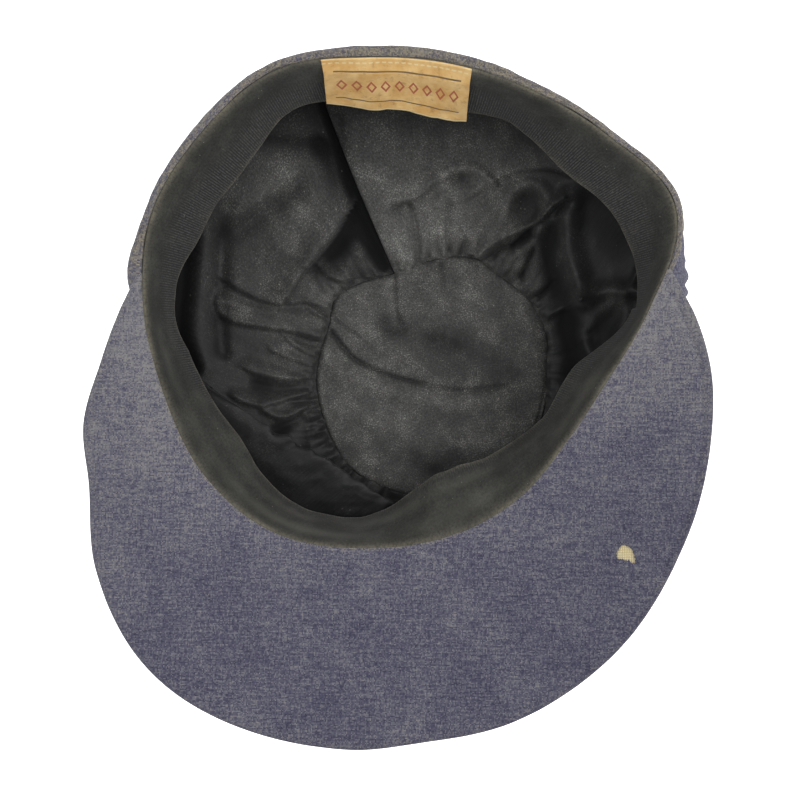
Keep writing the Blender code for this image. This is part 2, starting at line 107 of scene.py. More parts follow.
# The rim, every 20 degrees, as shares of the rim's radius, the widths, the hem and SLUMP
RIM_COLUMNS = ("bearing", "reach", "ribbon_in", "band_in", "roll", "slump")
RIM = (
    (0, 0.993, 0.10, 0.10, 0.5, 1.60),
    (20, 1.155, 0.70, 0.22, 0.2, 0.90),
    (40, 1.056, 0.66, 0.28, 0.3, 0.80),
    (60, 0.991, 0.41, 0.20, 0.6, 0.90),
    (80, 0.976, 0.51, 0.20, 1.0, 1.00),
    (100, 1.002, 0.51, 0.25, 1.0, 1.00),
    (120, 1.080, 0.45, 0.25, 0.6, 0.90),
    (140, 1.087, 0.70, 0.30, 0.6, 0.70),
    (160, 1.112, 0.64, 0.30, 0.4, 0.60),
    (180, 1.089, 0.32, 0.16, 0.8, 0.60),
    (200, 1.079, 0.49, 0.18, 0.8, 0.60),
    (220, 1.106, 0.66, 0.22, 0.8, 0.60),
    (240, 1.096, 0.42, 0.20, 0.8, 0.60),
    (260, 1.025, 0.43, 0.12, 0.8, 0.60),
    (280, 0.973, 0.90, 0.12, 0.8, 0.60),
    (300, 0.917, 0.69, 0.08, 0.8, 0.70),
    (320, 0.860, 0.41, 0.08, 0.8, 0.80),
    (340, 0.875, 0.42, 0.12, 0.8, 1.10),
)

# The visor's outer edge, as shares of BRIM_DEPTH and BRIM_LIFT
BRIM_COLUMN_NAMES = ("bearing", "depth", "lift")
BRIM_EDGE = (
    (173, 0.034, 0.00),
    (177, 0.075, 0.00),
    (190, 0.240, 0.45),
    (200, 0.405, 0.80),
    (210, 0.500, 1.00),
    (220, 0.685, 1.05),
    (233, 0.872, 1.00),
    (247, 0.963, 0.90),
    (262, 1.000, 0.85),
    (272, 0.975, 0.80),
    (284, 0.973, 0.80),
    (300, 0.899, 0.90),
    (315, 0.786, 1.00),
    (330, 0.646, 0.95),
    (345, 0.464, 0.70),
    (357, 0.251, 0.35),
    (368, 0.020, 0.00),
)

# The head band's outer face, from the crown seam over the hem to its turned-in edge
BAND_ROLL = (1.00, 1.03, 1.00, 0.82, 0.48, 0.16, 0.06)
BAND_LEAN = (1.00, 0.50, 0.10, 0.00, 0.00, 0.00, 0.00)
BAND_DOWN = (1.00, 0.50, 0.14, 0.03, 0.00, 0.035, 0.286)

# The crown's outer face, from the tip seam up to the band
CROWN_SECTION = {
    "foot": (0.0, 0.8, 1.0, 1.0, 1.0, 1.0, 1.0, 1.0),
    "reach": (0.00, 0.05, 0.35, 0.68, 0.91, 1.00, 1.02, 1.00),
    "height": (0.000, 0.012, 0.060, 0.170, 0.340, 0.560, 0.800, 1.000),
    "slump": (0.00, 0.00, 0.15, 0.50, 0.90, 1.00, 0.70, 0.00),
    "gather": (0.00, 0.80, 0.80, 0.45, 0.35, 0.55, 0.80, 0.10),
}

# The lining's side: its place along the crown's section, and how much of each slackness it has
LINING_SECTION = {
    "along": (0.00, 0.14, 0.30, 0.46, 0.62, 0.78, 0.94),
    "inset": (0.55, 0.75, 1.00, 1.10, 1.10, 1.00, 0.80),
    "overhang": (0.0, 0.0, 0.55, 1.0, 0.8, 0.35, 0.05),
}
OVERHANG_BEARING = 238
OVERHANG_CLEAR = 0.0025
OVERHANG_RISE = 0.0075

# The short ruched bit of the crown by the visor's right end: its bearing, half its width, and how far
# it stands out and its ruffles go in and out
RUCHE = (5.5, 4.6, 0.0007, 0.0010)

# Where the lining's upper panel ends over the lower one, at the tip and at the rim, and how far the
# edge bows between them
LAP_EDGE = (110.3, 106.4)
LAP_BOW = 3.0
LAP_UNDER = 7.0

# The tip seam's distance from its centre, as shares of the tip's radius
SEAM_BEARINGS = (0, 16, 32, 56, 70, 83, 97, 111, 127, 143, 153, 165, 180, 208, 225, 250, 290, 330)
SEAM_REACH = (
    0.95, 0.99, 1.02, 1.00, 1.04, 1.00, 0.95, 0.92, 0.98, 1.05, 0.98, 0.97, 0.98, 1.00, 1.04,
    1.02, 1.00, 0.98,
)

# The lining's folds, in millimetres in plan as seen by the eye: the height at the two ends, the
# widths to the left and right of the way the fold runs, how crisp it is, and the points it passes
FOLDS = (
    (7, 5.5, 1.3, 8, 0.35, ((-34.8, 61.4), (-40.7, 53.2), (-49.3, 44.2), (-53.6, 38.7), (-57.9, 31.3))),
    (-7, -5, 4.5, 4.5, 0, ((-32.9, 58.7), (-37.6, 51.2), (-43.8, 44.6))),
    (2.8, 2.8, 4, 1.2, 0.2, ((-49.3, 43.8), (-46.2, 44.6), (-40.7, 39.5), (-33.6, 38.7))),
    (2.8, 2.6, 8, 1.2, 0.1, (
        (-77.5, 34.8), (-72, 32.1), (-67.3, 30.1), (-60.2, 28.9), (-50.1, 29.3), (-42.3, 27.4),
    )),
    (2.6, 2.6, 3, 3, 0, ((-81.4, 29.3), (-75.1, 27), (-67.3, 25), (-56.3, 23.9), (-45.4, 21.5))),
    (3.2, 3, 3.6, 1.2, 0.15, (
        (-84.9, 29.7), (-83.7, 25), (-79.8, 22.3), (-73.5, 20.7), (-64.2, 19.2), (-56.3, 18),
        (-44.6, 15.2),
    )),
    (2, 2.4, 2.4, 0.9, 0.3, ((-57.1, 14.1), (-51.6, 10.2), (-45.4, 7.8))),
    (1.4, 1.6, 2, 0.9, 0.3, ((-64.2, 10.6), (-57.1, 7.4), (-47.7, 3.9))),
    (2.4, 2.8, 4, 1.1, 0.2, ((-72, 2.3), (-65.7, 0.4), (-57.9, -0.8), (-46.9, 0))),
    (-3, -3.5, 2.4, 2.4, 0, ((-69.6, -3.1), (-60.2, -5.1), (-50.1, -4.7))),
    (2.2, 2.6, 3, 1, 0.2, ((-77.5, -8.6), (-68.9, -11.4), (-59.5, -9.4), (-50.1, -6.3))),
    (2, 2.4, 2.6, 1, 0.2, ((-67.3, -13.3), (-59.5, -16.4), (-50.9, -12.5))),
    (-2.6, -2.6, 2, 2, 0, ((-61.8, -21.1), (-52.4, -16.4))),
    (2.2, 2.2, 5, 5, 0, ((-88.4, 66.9), (-90.4, 53.2), (-91.5, 33.6), (-91.9, 14.1), (-90.4, 3.1))),
    (-1.8, -2.2, 2.6, 2.6, 0, (
        (-80.5, 66.4), (-82.6, 53.2), (-83.2, 33.6), (-83.2, 18), (-82.4, 9.4),
    )),
    (-6.5, -6.5, 3, 3, 0, ((-95.5, 53.2), (-97.8, 33.6), (-99.4, 16), (-94.7, 3.1))),
    (-2.6, -2.2, 4, 5, 0, ((-54, 72.8), (-66.5, 63.8), (-79.8, 55.5))),
    (2.4, 2.2, 5.5, 5.5, 0, ((-58.7, 78.2), (-72, 68.8), (-79, 63.4))),
    (-2, -2.4, 2.6, 5, 0, ((-67.3, 91.5), (-56, 90.8), (-45, 90.5))),
    (-1.6, -1.8, 2.4, 4, 0, ((-43.5, 90), (-41.2, 80.5), (-37.8, 70), (-33.5, 60.5))),
    (1.8, 1.8, 9, 9, 0, ((-52.4, 57.1), (-67.3, 44.6), (-75.9, 39.1))),
    (-2.2, -4, 2.8, 2.8, 0, (
        (-38.2, 100.9), (-37.4, 91.1), (-34, 76.3), (-30.1, 62.6), (-25.8, 52.4), (-18.8, 40.7),
    )),
    (-1.3, -1.3, 0.45, 0.45, 0.8, ((-66.5, 45), (-66.1, 48.1), (-63.4, 50.1))),
    (1.6, 3.4, 0.9, 4.2, 0.3, (
        (-18.8, 69.6), (-10.2, 70), (-3.9, 73.1), (0.8, 78.2), (6.3, 81.4), (12.9, 82.5),
        (18.8, 81), (23.1, 77.1),
    )),
    (-2.6, -3, 2.2, 2.6, 0, ((-15.5, 64.5), (-5.5, 68.5), (1.5, 73.8), (8.5, 77.2), (16, 77.2))),
    (-0.5, -2.6, 1, 1.3, 0.5, ((11.4, 78.4), (9.4, 72.8), (7.4, 67.3), (5.5, 57.1), (5.9, 47.7))),
    (2.2, 2, 3.2, 3.2, 0, ((4.7, 76.7), (1.6, 67.3), (0.8, 56.3))),
    (2.2, 1.6, 3.2, 3.2, 0, ((15.7, 76.7), (14.1, 66.9), (12.5, 54.8))),
    (-1.8, -1.8, 1.1, 1.1, 0.5, ((-14.9, 65.7), (-9.8, 66.9), (-7.4, 59.8), (-5.9, 48.5))),
    (1.6, 1.6, 2.6, 2.6, 0, ((-14.1, 62.6), (-11.7, 54.8), (-10.2, 46.9))),
    (1.4, 2.6, 5, 1.2, 0.3, (
        (9.4, 68.5), (16.8, 72.8), (23.1, 76.7), (29, 79.4), (34.8, 81), (46.6, 81.8),
        (53.2, 79.8),
    )),
    (3.4, 3, 3.4, 3.4, 0, (
        (18.8, 48.5), (22.7, 54.8), (26.2, 60.2), (28.2, 64.9), (29.3, 70), (32.5, 73.5),
        (36.8, 75.5), (41.5, 74.3), (44.6, 70), (43.8, 64.1), (40.7, 57.1),
    )),
    (-2.6, -2.4, 4.4, 4.4, 0, ((36, 68.5), (38, 64.4), (35.4, 57.3))),
    (-3.4, -3.4, 0.9, 1.8, 0.5, ((30.5, 50.6), (36.2, 56.2), (44.2, 62.4), (52.6, 68.6))),
    (-2.8, -2.4, 0.8, 1.2, 0.5, ((33.6, 38.3), (36, 43.6), (38.7, 49.3))),
    (-2.6, -2.4, 0.8, 1.2, 0.5, ((40.7, 30.9), (46.2, 36.4))),
    (2.6, 4.2, 2.2, 1.3, 0.4, (
        (15.3, 48.1), (23.5, 52.4), (32.1, 56.7), (40.7, 60.2), (46.6, 66.9), (51.6, 71.2),
    )),
    (-2.6, -2.6, 1.3, 1.3, 0.4, ((20.3, 44.6), (25.8, 49.3), (32.1, 51.6), (37.6, 54.8))),
    (4, 6, 4.6, 3.6, 0, (
        (53.6, 71.5), (52.7, 62.5), (52.2, 55), (53.8, 46.5), (56.6, 38), (59, 31),
    )),
    (-4.2, -4.2, 4.4, 4.4, 0, ((46.2, 56.3), (44.6, 44.6), (47.7, 32.9), (51.6, 21.1))),
    (3.6, 3, 3.6, 2.6, 0.1, ((58.3, 30.5), (64.9, 32.5), (70.4, 33.6), (80.6, 32.9))),
    (2.2, 4, 2, 1.6, 0.3, ((43.8, 23.1), (49.3, 26.2), (58.3, 30.1))),
    (1.2, 1.6, 2.8, 2.8, 0, (
        (75.1, 32.5), (68.1, 27), (62.6, 21.9), (59.5, 14.1), (61.8, 7.8), (67.3, 4.7),
    )),
    (1.6, 1.2, 2.4, 2.4, 0, ((75.1, 32.1), (75.1, 25), (72.8, 18), (71.2, 14.9))),
    (-2.4, -2.4, 5, 5, 0, ((63.5, 16.8), (69, 22.5))),
    (-4.2, -4.2, 4.2, 4.2, 0, ((50.9, 18), (53.2, 9.4), (54.8, 0.8))),
    (-1.8, -1.8, 8, 8, 0, ((62.9, 66.9), (72.6, 50.8))),
    (1.8, 1.8, 1.6, 1.6, 0.3, ((80.6, 42.2), (78.2, 36), (82.2, 32.1))),
)

# How far down the label hangs across its width, as shares of its height
LABEL_HANG = ((0.0, 0.25, 0.5, 0.66, 0.8, 1.0), (0.86, 0.94, 0.90, 0.98, 1.04, 1.02))

# Where dust lies on the lining, and where its pale film is painted in as painted light, such as the
# sheen of the steep upper left wall at (-56, 74): places in plan as above, their radii, and how much
# lies there
DUST_AND_PAINTED_LIGHT = (
    (4, 68, 27, 0.74),
    (-4, 56, 16, 0.48),
    (-56, 74, 22, 0.66),
    (-74, 40, 22, 0.18),
    (-58, 12, 18, 0.24),
    (-66, -10, 15, 0.16),
    (-40, 30, 12, 0.35),
    (40, 42, 14, 0.26),
    (-20, 92, 20, 0.24),
    (24, 86, 20, 0.20),
    (72, 26, 10, 0.12),
)

# Painted light and shade on the lining's tip, laid in the same way and added to its dust: more pale
# film on the patches its folds turn to the light, and less, with negative amounts, in their shade
TIP_PAINTED_LIGHT_AND_SHADE = (
    (-21, 22.5, 14, 0.16),
    (10.5, 28.5, 13, 0.20),
    (-25, -7.5, 14, 0.14),
    (28, 6, 16, -0.20),
    (2, 13, 9, -0.14),
    (-33, -25, 10, -0.16),
    (20, -9, 14, -0.12),
    (0, -31, 12, -0.14),
)

# Creases in the lining's tip, in the same way
TIP_FOLDS = (
    (-1.6, -0.5, 0.9, 0.9, 0.4, ((-15.3, 40.7), (-14.9, 31.3), (-13.7, 23.5), (-11.3, 18))),
    (1.1, 0.4, 2.4, 2.4, 0, ((-19, 40), (-18, 30), (-16, 22))),
    (-1.3, -0.4, 0.9, 0.9, 0.4, ((2.7, 43.8), (3.9, 33.6), (4.7, 28.2))),
    (1.1, 0.4, 2.4, 2.4, 0, ((-1, 42), (0, 33), (1, 27))),
    (-1, -0.3, 0.9, 0.9, 0.4, ((17.2, 43), (16.8, 34.4))),
    (0.9, 0.3, 2.4, 2.4, 0, ((12, 44), (12, 35), (12, 28))),
    (-2.2, -0.8, 1.1, 1.3, 0.4, (
        (-40.7, 18), (-32.1, 7.4), (-21.9, 1.9), (-7.4, -2.4), (10.2, -5.5), (29, -3.9),
    )),
    (1.8, 1, 3.2, 3.2, 0, ((-44, 10), (-36, 2), (-24, -4), (-8, -8), (9, -11), (26, -10))),
    (-1.4, -0.7, 1, 1, 0.4, ((-42, 24), (-34, 18), (-27, 13))),
    (1, 0.5, 2.4, 2.4, 0, ((-40, 28), (-31, 21), (-22, 14))),
    (0.9, 0.3, 1.8, 1.8, 0.3, ((-45, -9), (-43, -19), (-39, -28))),
    (-1.2, -0.9, 1, 1, 0.4, ((35, 34), (41, 24), (44, 14), (45, 6), (43, -8), (40, -20))),
    (1, 0.8, 3, 3, 0, ((31, 30), (37, 20), (40, 8), (39, -6))),
    (-1.2, -0.8, 6, 6, 0, ((-20, 20), (10, 12), (28, 4))),
    (1.2, 0.8, 6, 6, 0, ((-28, -16), (-6, -24), (16, -24))),
    (-1, -1, 5, 5, 0, ((-20, -30), (4, -36), (22, -34))),
)


def smooth_step(low, high, value):
    """0 below low, 1 above high, and a smooth rise between them."""
    share = np.clip((value - low) / (high - low), 0.0, 1.0)
    return share * share * (3.0 - 2.0 * share)


def through(knots, values, at):
    """The values at any places on the smooth curve through the knots."""
    knots = np.asarray(knots, float)
    values = np.asarray(values, float)
    at = np.clip(at, knots[0], knots[-1])
    index = np.clip(np.searchsorted(knots, at, side="right") - 1, 0, len(knots) - 2)
    places = np.arange(len(knots))
    low = np.maximum(places - 1, 0)
    high = np.minimum(places + 1, len(knots) - 1)
    slopes = (values[high] - values[low]) / (knots[high] - knots[low])
    span = knots[index + 1] - knots[index]
    share = (at - knots[index]) / span
    rise = (values[index + 1] - values[index]) * share * share * (3 - 2 * share)
    bend_in = share * (1 - share) ** 2 * slopes[index] * span
    bend_out = share * share * (share - 1) * slopes[index + 1] * span
    return values[index] + rise + bend_in + bend_out


def round_ring(bearings, values, at):
    """The same on a curve that closes on itself after a full turn."""
    knots = np.concatenate([np.asarray(bearings, float) + turn for turn in (-360, 0, 360)])
    return through(knots, np.tile(values, 3), np.mod(at, 360))


def unit(bearing):
    """Level directions out from the rim's centre."""
    angle = np.radians(bearing)
    return np.stack([np.cos(angle), np.sin(angle), np.zeros_like(angle)], -1)


def up(height):
    """Upright vectors of the given heights."""
    height = np.asarray(height, float)
    return np.stack([np.zeros_like(height), np.zeros_like(height), height], -1)


def at_rim(column, bearing):
    """A column of the rim's table at any bearings."""
    place = RIM_COLUMNS.index(column)
    return round_ring([row[0] for row in RIM], [row[place] for row in RIM], bearing)


def at_brim(column, bearing):
    """A column of the visor's table at any bearings."""
    place = BRIM_COLUMN_NAMES.index(column)
    return through([row[0] for row in BRIM_EDGE], [row[place] for row in BRIM_EDGE], bearing)


def level_outline(radius):
    """The rim's outline in plan at a mean radius, and its tilt from front to back."""
    bearing = np.arange(0, 360, 5.0)
    points = unit(bearing) * (radius * at_rim("reach", bearing))[:, None]
    points += np.array([-RIM_SHIFT_LEFT, RIM_SHIFT_BACK, 0.0])
    front = points[:, 1].min()
    slope = (BACK_HEIGHT - FRONT_HEIGHT) / (points[:, 1].max() - front)
    points[:, 2] = FRONT_HEIGHT + (points[:, 1] - front) * slope
    return points, front, slope


def rim_radius():
    """The mean radius at which the tilted outline goes round the head with its ease."""
    seam_length = HEAD_CIRCUMFERENCE + math.tau * RIM_EASE
    radius = seam_length / math.tau
    for _ in range(6):
        points = level_outline(radius)[0]
        length = np.linalg.norm(points - np.roll(points, -1, axis=0), axis=1).sum()
        radius *= seam_length / length
    return radius


RIM_RADIUS = rim_radius()
_, RIM_FRONT, RIM_SLOPE = level_outline(RIM_RADIUS)


def rim_point(bearing):
    """The seam where the sweatband meets the outer cloth."""
    flat = unit(bearing) * (RIM_RADIUS * at_rim("reach", bearing))[..., None]
    flat = flat + np.array([-RIM_SHIFT_LEFT, RIM_SHIFT_BACK, 0.0])
    return flat + up(FRONT_HEIGHT + (flat[..., 1] - RIM_FRONT) * RIM_SLOPE)


def under_brim(bearing):
    """How far the hem is lowered, to seat the visor on it."""
    bearing = np.mod(bearing, 360)
    bearing = np.where(bearing < 90, bearing + 360, bearing)
    rise = smooth_step(BRIM_LEFT_END - 5, BRIM_LEFT_END + 1, bearing)
    fall = 1 - smooth_step(BRIM_RIGHT_END - 2, BRIM_RIGHT_END + 4, bearing)
    return (BRIM_STACK + GAP) * rise * fall


def band_point(bearing, place):
    """The head band's outer face. place runs from the crown seam, 0, to the turned-in edge, 6."""
    knots = np.arange(len(BAND_ROLL))
    hem = 2 * CLOTH + HEM_CORE * at_rim("roll", bearing)
    lean = at_rim("band_in", bearing) * BAND_DEPTH
    out = through(knots, BAND_ROLL, place) * hem - through(knots, BAND_LEAN, place) * lean
    seat = under_brim(bearing)
    down = seat + through(knots, BAND_DOWN, place) * (BAND_DEPTH - seat)
    return rim_point(bearing) + unit(bearing) * out[..., None] - up(down)


def crown_row(column, along):
    """A column of the crown's section at a share of the way from the tip seam to the band."""
    values = CROWN_SECTION[column]
    return through(np.linspace(0, 1, len(values)), values, along)


def crown_base(bearing, along):
    """The crown's outer face without its gathers."""
    away = unit(bearing)
    tip = away * (TIP_DIAMETER / 2 + 2 * GAP)
    foot = tip + away * CROWN_FOOT
    seam = band_point(bearing, np.zeros_like(bearing)) - up(np.full_like(bearing, GAP))
    way = (seam - foot) * np.array([1.0, 1.0, 0.0])
    slump = crown_row("slump", along) * at_rim("slump", bearing) * SLUMP
    out = crown_row("foot", along) * CROWN_FOOT + slump
    point = tip + away * out[..., None] + way * crown_row("reach", along)[..., None]
    height = GAP / 2 + crown_row("height", along) * (seam[..., 2] - GAP / 2)
    return point + up(height)


def inward(bearing, along):
    """The directions from the crown's face into the cap."""
    step = 0.02
    upward = crown_base(bearing, np.minimum(along + step, 1.0))
    upward = upward - crown_base(bearing, np.maximum(along - step, 0.0))
    sideways = crown_base(bearing + 1, along) - crown_base(bearing - 1, along)
    return unit_length(np.cross(upward, sideways))


def unit_length(vectors):
    """Vectors of length one along the given ones."""
    return vectors / np.maximum(np.linalg.norm(vectors, axis=-1, keepdims=True), 1e-12)


def ribbon_point(bearing, share):
    """The sweatband's outer face, from the rim down to its free edge."""
    lean = at_rim("ribbon_in", bearing)
    inward_run = RIBBON_WIDTH * lean * share
    drop = RIBBON_WIDTH * np.sqrt(1 - lean * lean) * share
    out = -GAP / 2 - inward_run
    return rim_point(bearing) + unit(bearing) * out[..., None] - up(GAP + drop)


def brim_point(bearing, out, below):
    """The visor at distances out from the rim and below its upward face."""
    depth = at_brim("depth", bearing) * BRIM_DEPTH
    share = np.minimum(1.0, out / depth)
    lift = at_brim("lift", bearing) * BRIM_LIFT * share**1.4
    return rim_point(bearing) + unit(bearing) * (GAP + out)[..., None] + up(lift - below)


def waves(x, y, seed):
    """Smooth random waves between -1 and 1, one for each whole step of x and y."""
    table = np.random.RandomState(seed).uniform(-1, 1, (64, 64))
    column, row = np.floor(x).astype(int), np.floor(y).astype(int)
    across, along = x - column, y - row
    across = across**2 * (3 - 2 * across)
    along = along**2 * (3 - 2 * along)
    low = table[row % 64, column % 64] * (1 - across) + table[row % 64, (column + 1) % 64] * across
    high = table[(row + 1) % 64, column % 64] * (1 - across)
    high = high + table[(row + 1) % 64, (column + 1) % 64] * across
    return low * (1 - along) + high * along


def in_plan(points):
    """Where points are seen against the surface below, in millimetres."""
    eye = np.array(EYE)
    stretch = eye[2] / (eye[2] - points[..., 2:3])
    return (eye[:2] + (points[..., :2] - eye[:2]) * stretch) / MM


def smooth_path(points, count=32):
    """Evenly many points on the smooth curve through a few."""
    points = np.asarray(points, float)
    steps = np.linalg.norm(np.diff(points, axis=0), axis=1)
    knots = np.concatenate([[0], np.cumsum(steps)])
    at = np.linspace(0, knots[-1], count)
    return np.stack([through(knots, points[:, 0], at), through(knots, points[:, 1], at)], -1)


def fold_height(plan, folds):
    """The folds' height at each point in plan, in millimetres."""
    flat = plan.reshape(-1, 2)
    total = np.zeros(len(flat))
    for first, last, left, right, crisp, points in folds:
        line = smooth_path(points)
        margin = 3.2 * max(left, right)
        low, high = line.min(axis=0) - margin, line.max(axis=0) + margin
        near = np.nonzero(((flat > low) & (flat < high)).all(axis=1))[0]
        if not len(near):
            continue
        place = flat[near]
        best = np.full(len(near), 1e9)
        side = np.zeros(len(near))
        share = np.zeros(len(near))
        for i in range(len(line) - 1):
            way = line[i + 1] - line[i]
            offset = place - line[i]
            part = np.clip(offset @ way / (way @ way), 0, 1)
            gap = offset - part[:, None] * way
            distance = np.hypot(gap[:, 0], gap[:, 1])
            closer = distance < best
            best[closer] = distance[closer]
            turn = way[0] * gap[:, 1] - way[1] * gap[:, 0]
            side[closer] = turn[closer]
            share[closer] = (i + part[closer]) / (len(line) - 1)
        wide = np.where(side > 0, left, right)
        ratio = best / wide
        rounded = np.exp(-ratio * ratio)
        sharp = np.exp(-1.7 * np.sqrt(ratio * ratio + 0.02) + 1.7 * math.sqrt(0.02))
        total[near] += (first + (last - first) * share) * (rounded * (1 - crisp) + sharp * crisp)
    return total.reshape(plan.shape[:-1])


def grid_normals(points):
    """The upward normals of a grid of points."""
    across = np.gradient(points, axis=1)
    along = np.gradient(points, axis=0)
    return unit_length(np.cross(along, across))


def hump(distance, width):
    """1 at no distance, and a bell of the given half width round it."""
    return np.exp(-((distance / width) ** 2))


def fading(distance, length):
    """1 at no distance, fading away over a length."""
    return np.exp(-distance / length)


def plan_waves(plan, size, shift, seed):
    """Random waves of one size over places in plan."""
    return waves(plan[..., 0] / size + shift, plan[..., 1] / size + shift, seed)


def ring_grid(columns, rows, last=1):
    """The bearings and the places from 0 to the last on a grid that goes right round."""
    return np.meshgrid(np.arange(columns) * 360 / columns, np.linspace(0, last, rows))


def closed_ring(grid):
    """A grid with its first column again at the end."""
    return np.concatenate([grid, grid[:, :1]], axis=1)


def quads(grid):
    """What a grid holds at the four corners of each of its faces."""
    return np.stack([grid[:-1, :-1], grid[:-1, 1:], grid[1:, 1:], grid[1:, :-1]], 2)


def walked(steps):
    """The distance walked by the start and after each step, in millimetres."""
    return np.concatenate([[0], np.cumsum(steps)]) / MM


def walked_cloth(points, lengths):
    """The cloth's own coordinates: the given ones across, and the mean distance walked up."""
    rises = walked(np.linalg.norm(np.diff(points, axis=0), axis=2).mean(axis=1))
    return np.stack(np.broadcast_arrays(lengths, rises[:, None]), -1)


def sheet(name, material, slot, nodes, points, cloth, keep=None, **levels):
    """A sheet of cloth through a grid of points, which rides on the cap and stands for its solids.

    It closes into a ring where its cloth has a column more than its points.
    """
    index = np.arange(points.shape[0] * points.shape[1]).reshape(points.shape[:2])
    if cloth.shape[1] > points.shape[1]:
        index = closed_ring(index)
    faces = quads(index).reshape(-1, 4)
    corners = quads(cloth).reshape(-1, 4, 2)
    if keep is not None:
        faces = faces[keep.reshape(-1)]
        corners = corners[keep.reshape(-1)]
    mesh = bpy.data.meshes.new(name)
    mesh.from_pydata(points.reshape(-1, 3).tolist(), [], faces.tolist())
    layer = mesh.uv_layers.new(name="cloth")
    layer.data.foreach_set("uv", corners.reshape(-1).astype(np.float32))
    for level, values in levels.items():
        attribute = mesh.attributes.new(level, "FLOAT", "POINT")
        attribute.data.foreach_set("value", values.reshape(-1).astype(np.float32))
    mesh.validate()
    mesh.materials.append(material)
    mesh.shade_smooth()
    piece = bpy.data.objects.new(name, mesh)
    bpy.context.scene.collection.objects.link(piece)
    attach(piece, "root")
    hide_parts(*nodes)
    return piece


def thicken(piece, thickness, offset):
    """Gives a sheet its thickness."""
    solid = piece.modifiers.new("thickness", "SOLIDIFY")
    solid.thickness = thickness
    solid.offset = offset


# Materials


def tone(shade):
    """A linear colour from the usual 0 to 255 values."""
    shares = [value / 255 for value in shade]
    linear = [s / 12.92 if s <= 0.04045 else ((s + 0.055) / 1.055) ** 2.4 for s in shares]
    return (*linear, 1.0)


class Value:
    """Something a material works out at each place, open to plain arithmetic."""

    def __init__(self, shader, socket):
        self.shader = shader
        self.socket = socket

    def __add__(self, other):
        return self.shader.calc("ADD", self, other)

    def __sub__(self, other):
        return self.shader.calc("SUBTRACT", self, other)

    def __rsub__(self, other):
        return self.shader.calc("SUBTRACT", other, self)

    def __mul__(self, other):
        return self.shader.calc("MULTIPLY", self, other)

    def __truediv__(self, other):
        return self.shader.calc("DIVIDE", self, other)

    def __abs__(self):
        return self.shader.calc("ABSOLUTE", self)


class Shader:
    """A material under construction."""

    def __init__(self, name, roughness, sheen=0.0, sheen_roughness=0.5, specular=0.5):
        self.material = bpy.data.materials.new(name)
        self.material.use_nodes = True
        self.tree = self.material.node_tree
        self.surface = self.tree.nodes["Principled BSDF"]
        self.surface.inputs["Roughness"].default_value = roughness
        self.surface.inputs["Sheen Weight"].default_value = sheen
        self.surface.inputs["Sheen Roughness"].default_value = sheen_roughness
        self.surface.inputs["Specular IOR Level"].default_value = specular
        self.cloth = self.add("ShaderNodeUVMap", uv_map="cloth")[0]

    def add(self, kind, inputs=None, **settings):
        """A new node's outputs. Its inputs are plain values or other nodes' outputs."""
        node = self.tree.nodes.new(kind)
        for key, value in settings.items():
            setattr(node, key, value)
        for key, value in (inputs or {}).items():
            if isinstance(value, Value):
                self.tree.links.new(value.socket, node.inputs[key])
            else:
                node.inputs[key].default_value = value
        return [Value(self, socket) for socket in node.outputs]

    def calc(self, operation, first, second=0.0, third=0.0):
        """Any other arithmetic on values."""
        return self.add("ShaderNodeMath", {0: first, 1: second, 2: third}, operation=operation)[0]

    def scaled(self, across, along):
        """The cloth's coordinates stretched differently each way."""
        inputs = {0: self.cloth, 1: (across, along, 1.0)}
        return self.add("ShaderNodeVectorMath", inputs, operation="MULTIPLY")[0]

    def split(self, vector):
        """A vector's first two parts."""
        return self.add("ShaderNodeSeparateXYZ", {0: vector})[:2]

    def join(self, across, along):
        """A vector from two values."""
        return self.add("ShaderNodeCombineXYZ", {0: across, 1: along})[0]

    def cloud(self, scale, detail, rough=0.5, vector=None):
        """Soft random patches between 0 and 1, laid out on the cloth unless told otherwise."""
        inputs = {"Vector": vector or self.cloth, "Scale": scale, "Detail": detail, "Roughness": rough}
        return self.add("ShaderNodeTexNoise", inputs)[0]

    def scatter(self, vector):
        """One random value for each place."""
        return self.add("ShaderNodeTexWhiteNoise", {"Vector": vector}, noise_dimensions="2D")[0]

    def ramp(self, share, low, high):
        """0 below low and 1 above high."""
        inputs = {0: share, 1: low, 2: high, 3: 0.0, 4: 1.0}
        return self.add("ShaderNodeMapRange", inputs, interpolation_type="SMOOTHSTEP")[0]

    def mix(self, share, first, second):
        """A colour between two, each a shade or another node's colour."""
        ends = [tone(end) if isinstance(end, tuple) else end for end in (first, second)]
        return self.add("ShaderNodeMix", {0: share, 6: ends[0], 7: ends[1]}, data_type="RGBA")[2]

    def colours(self, share, stops):
        """A colour picked along a few stops."""
        colour = self.add("ShaderNodeValToRGB", {0: share})[0]
        elements = colour.socket.node.color_ramp.elements
        while len(elements) < len(stops):
            elements.new(0.5)
        for element, (place, shade) in zip(elements, stops):
            element.position = place
            element.color = tone(shade)
        return colour

    def level(self, name):
        """One of the sheet's own levels, such as how worn each place is."""
        return self.add("ShaderNodeAttribute", attribute_name=name)[2]

    def finish(self, colour, height, distance, strength, roughness=None):
        """Links the colour, the fine relief and any uneven roughness to the surface."""
        inputs = {"Height": height, "Distance": distance, "Strength": strength}
        normal = self.add("ShaderNodeBump", inputs)[0]
        for key, value in (("Base Color", colour), ("Normal", normal), ("Roughness", roughness)):
            if value is not None:
                self.tree.links.new(value.socket, self.surface.inputs[key])
        return self.material


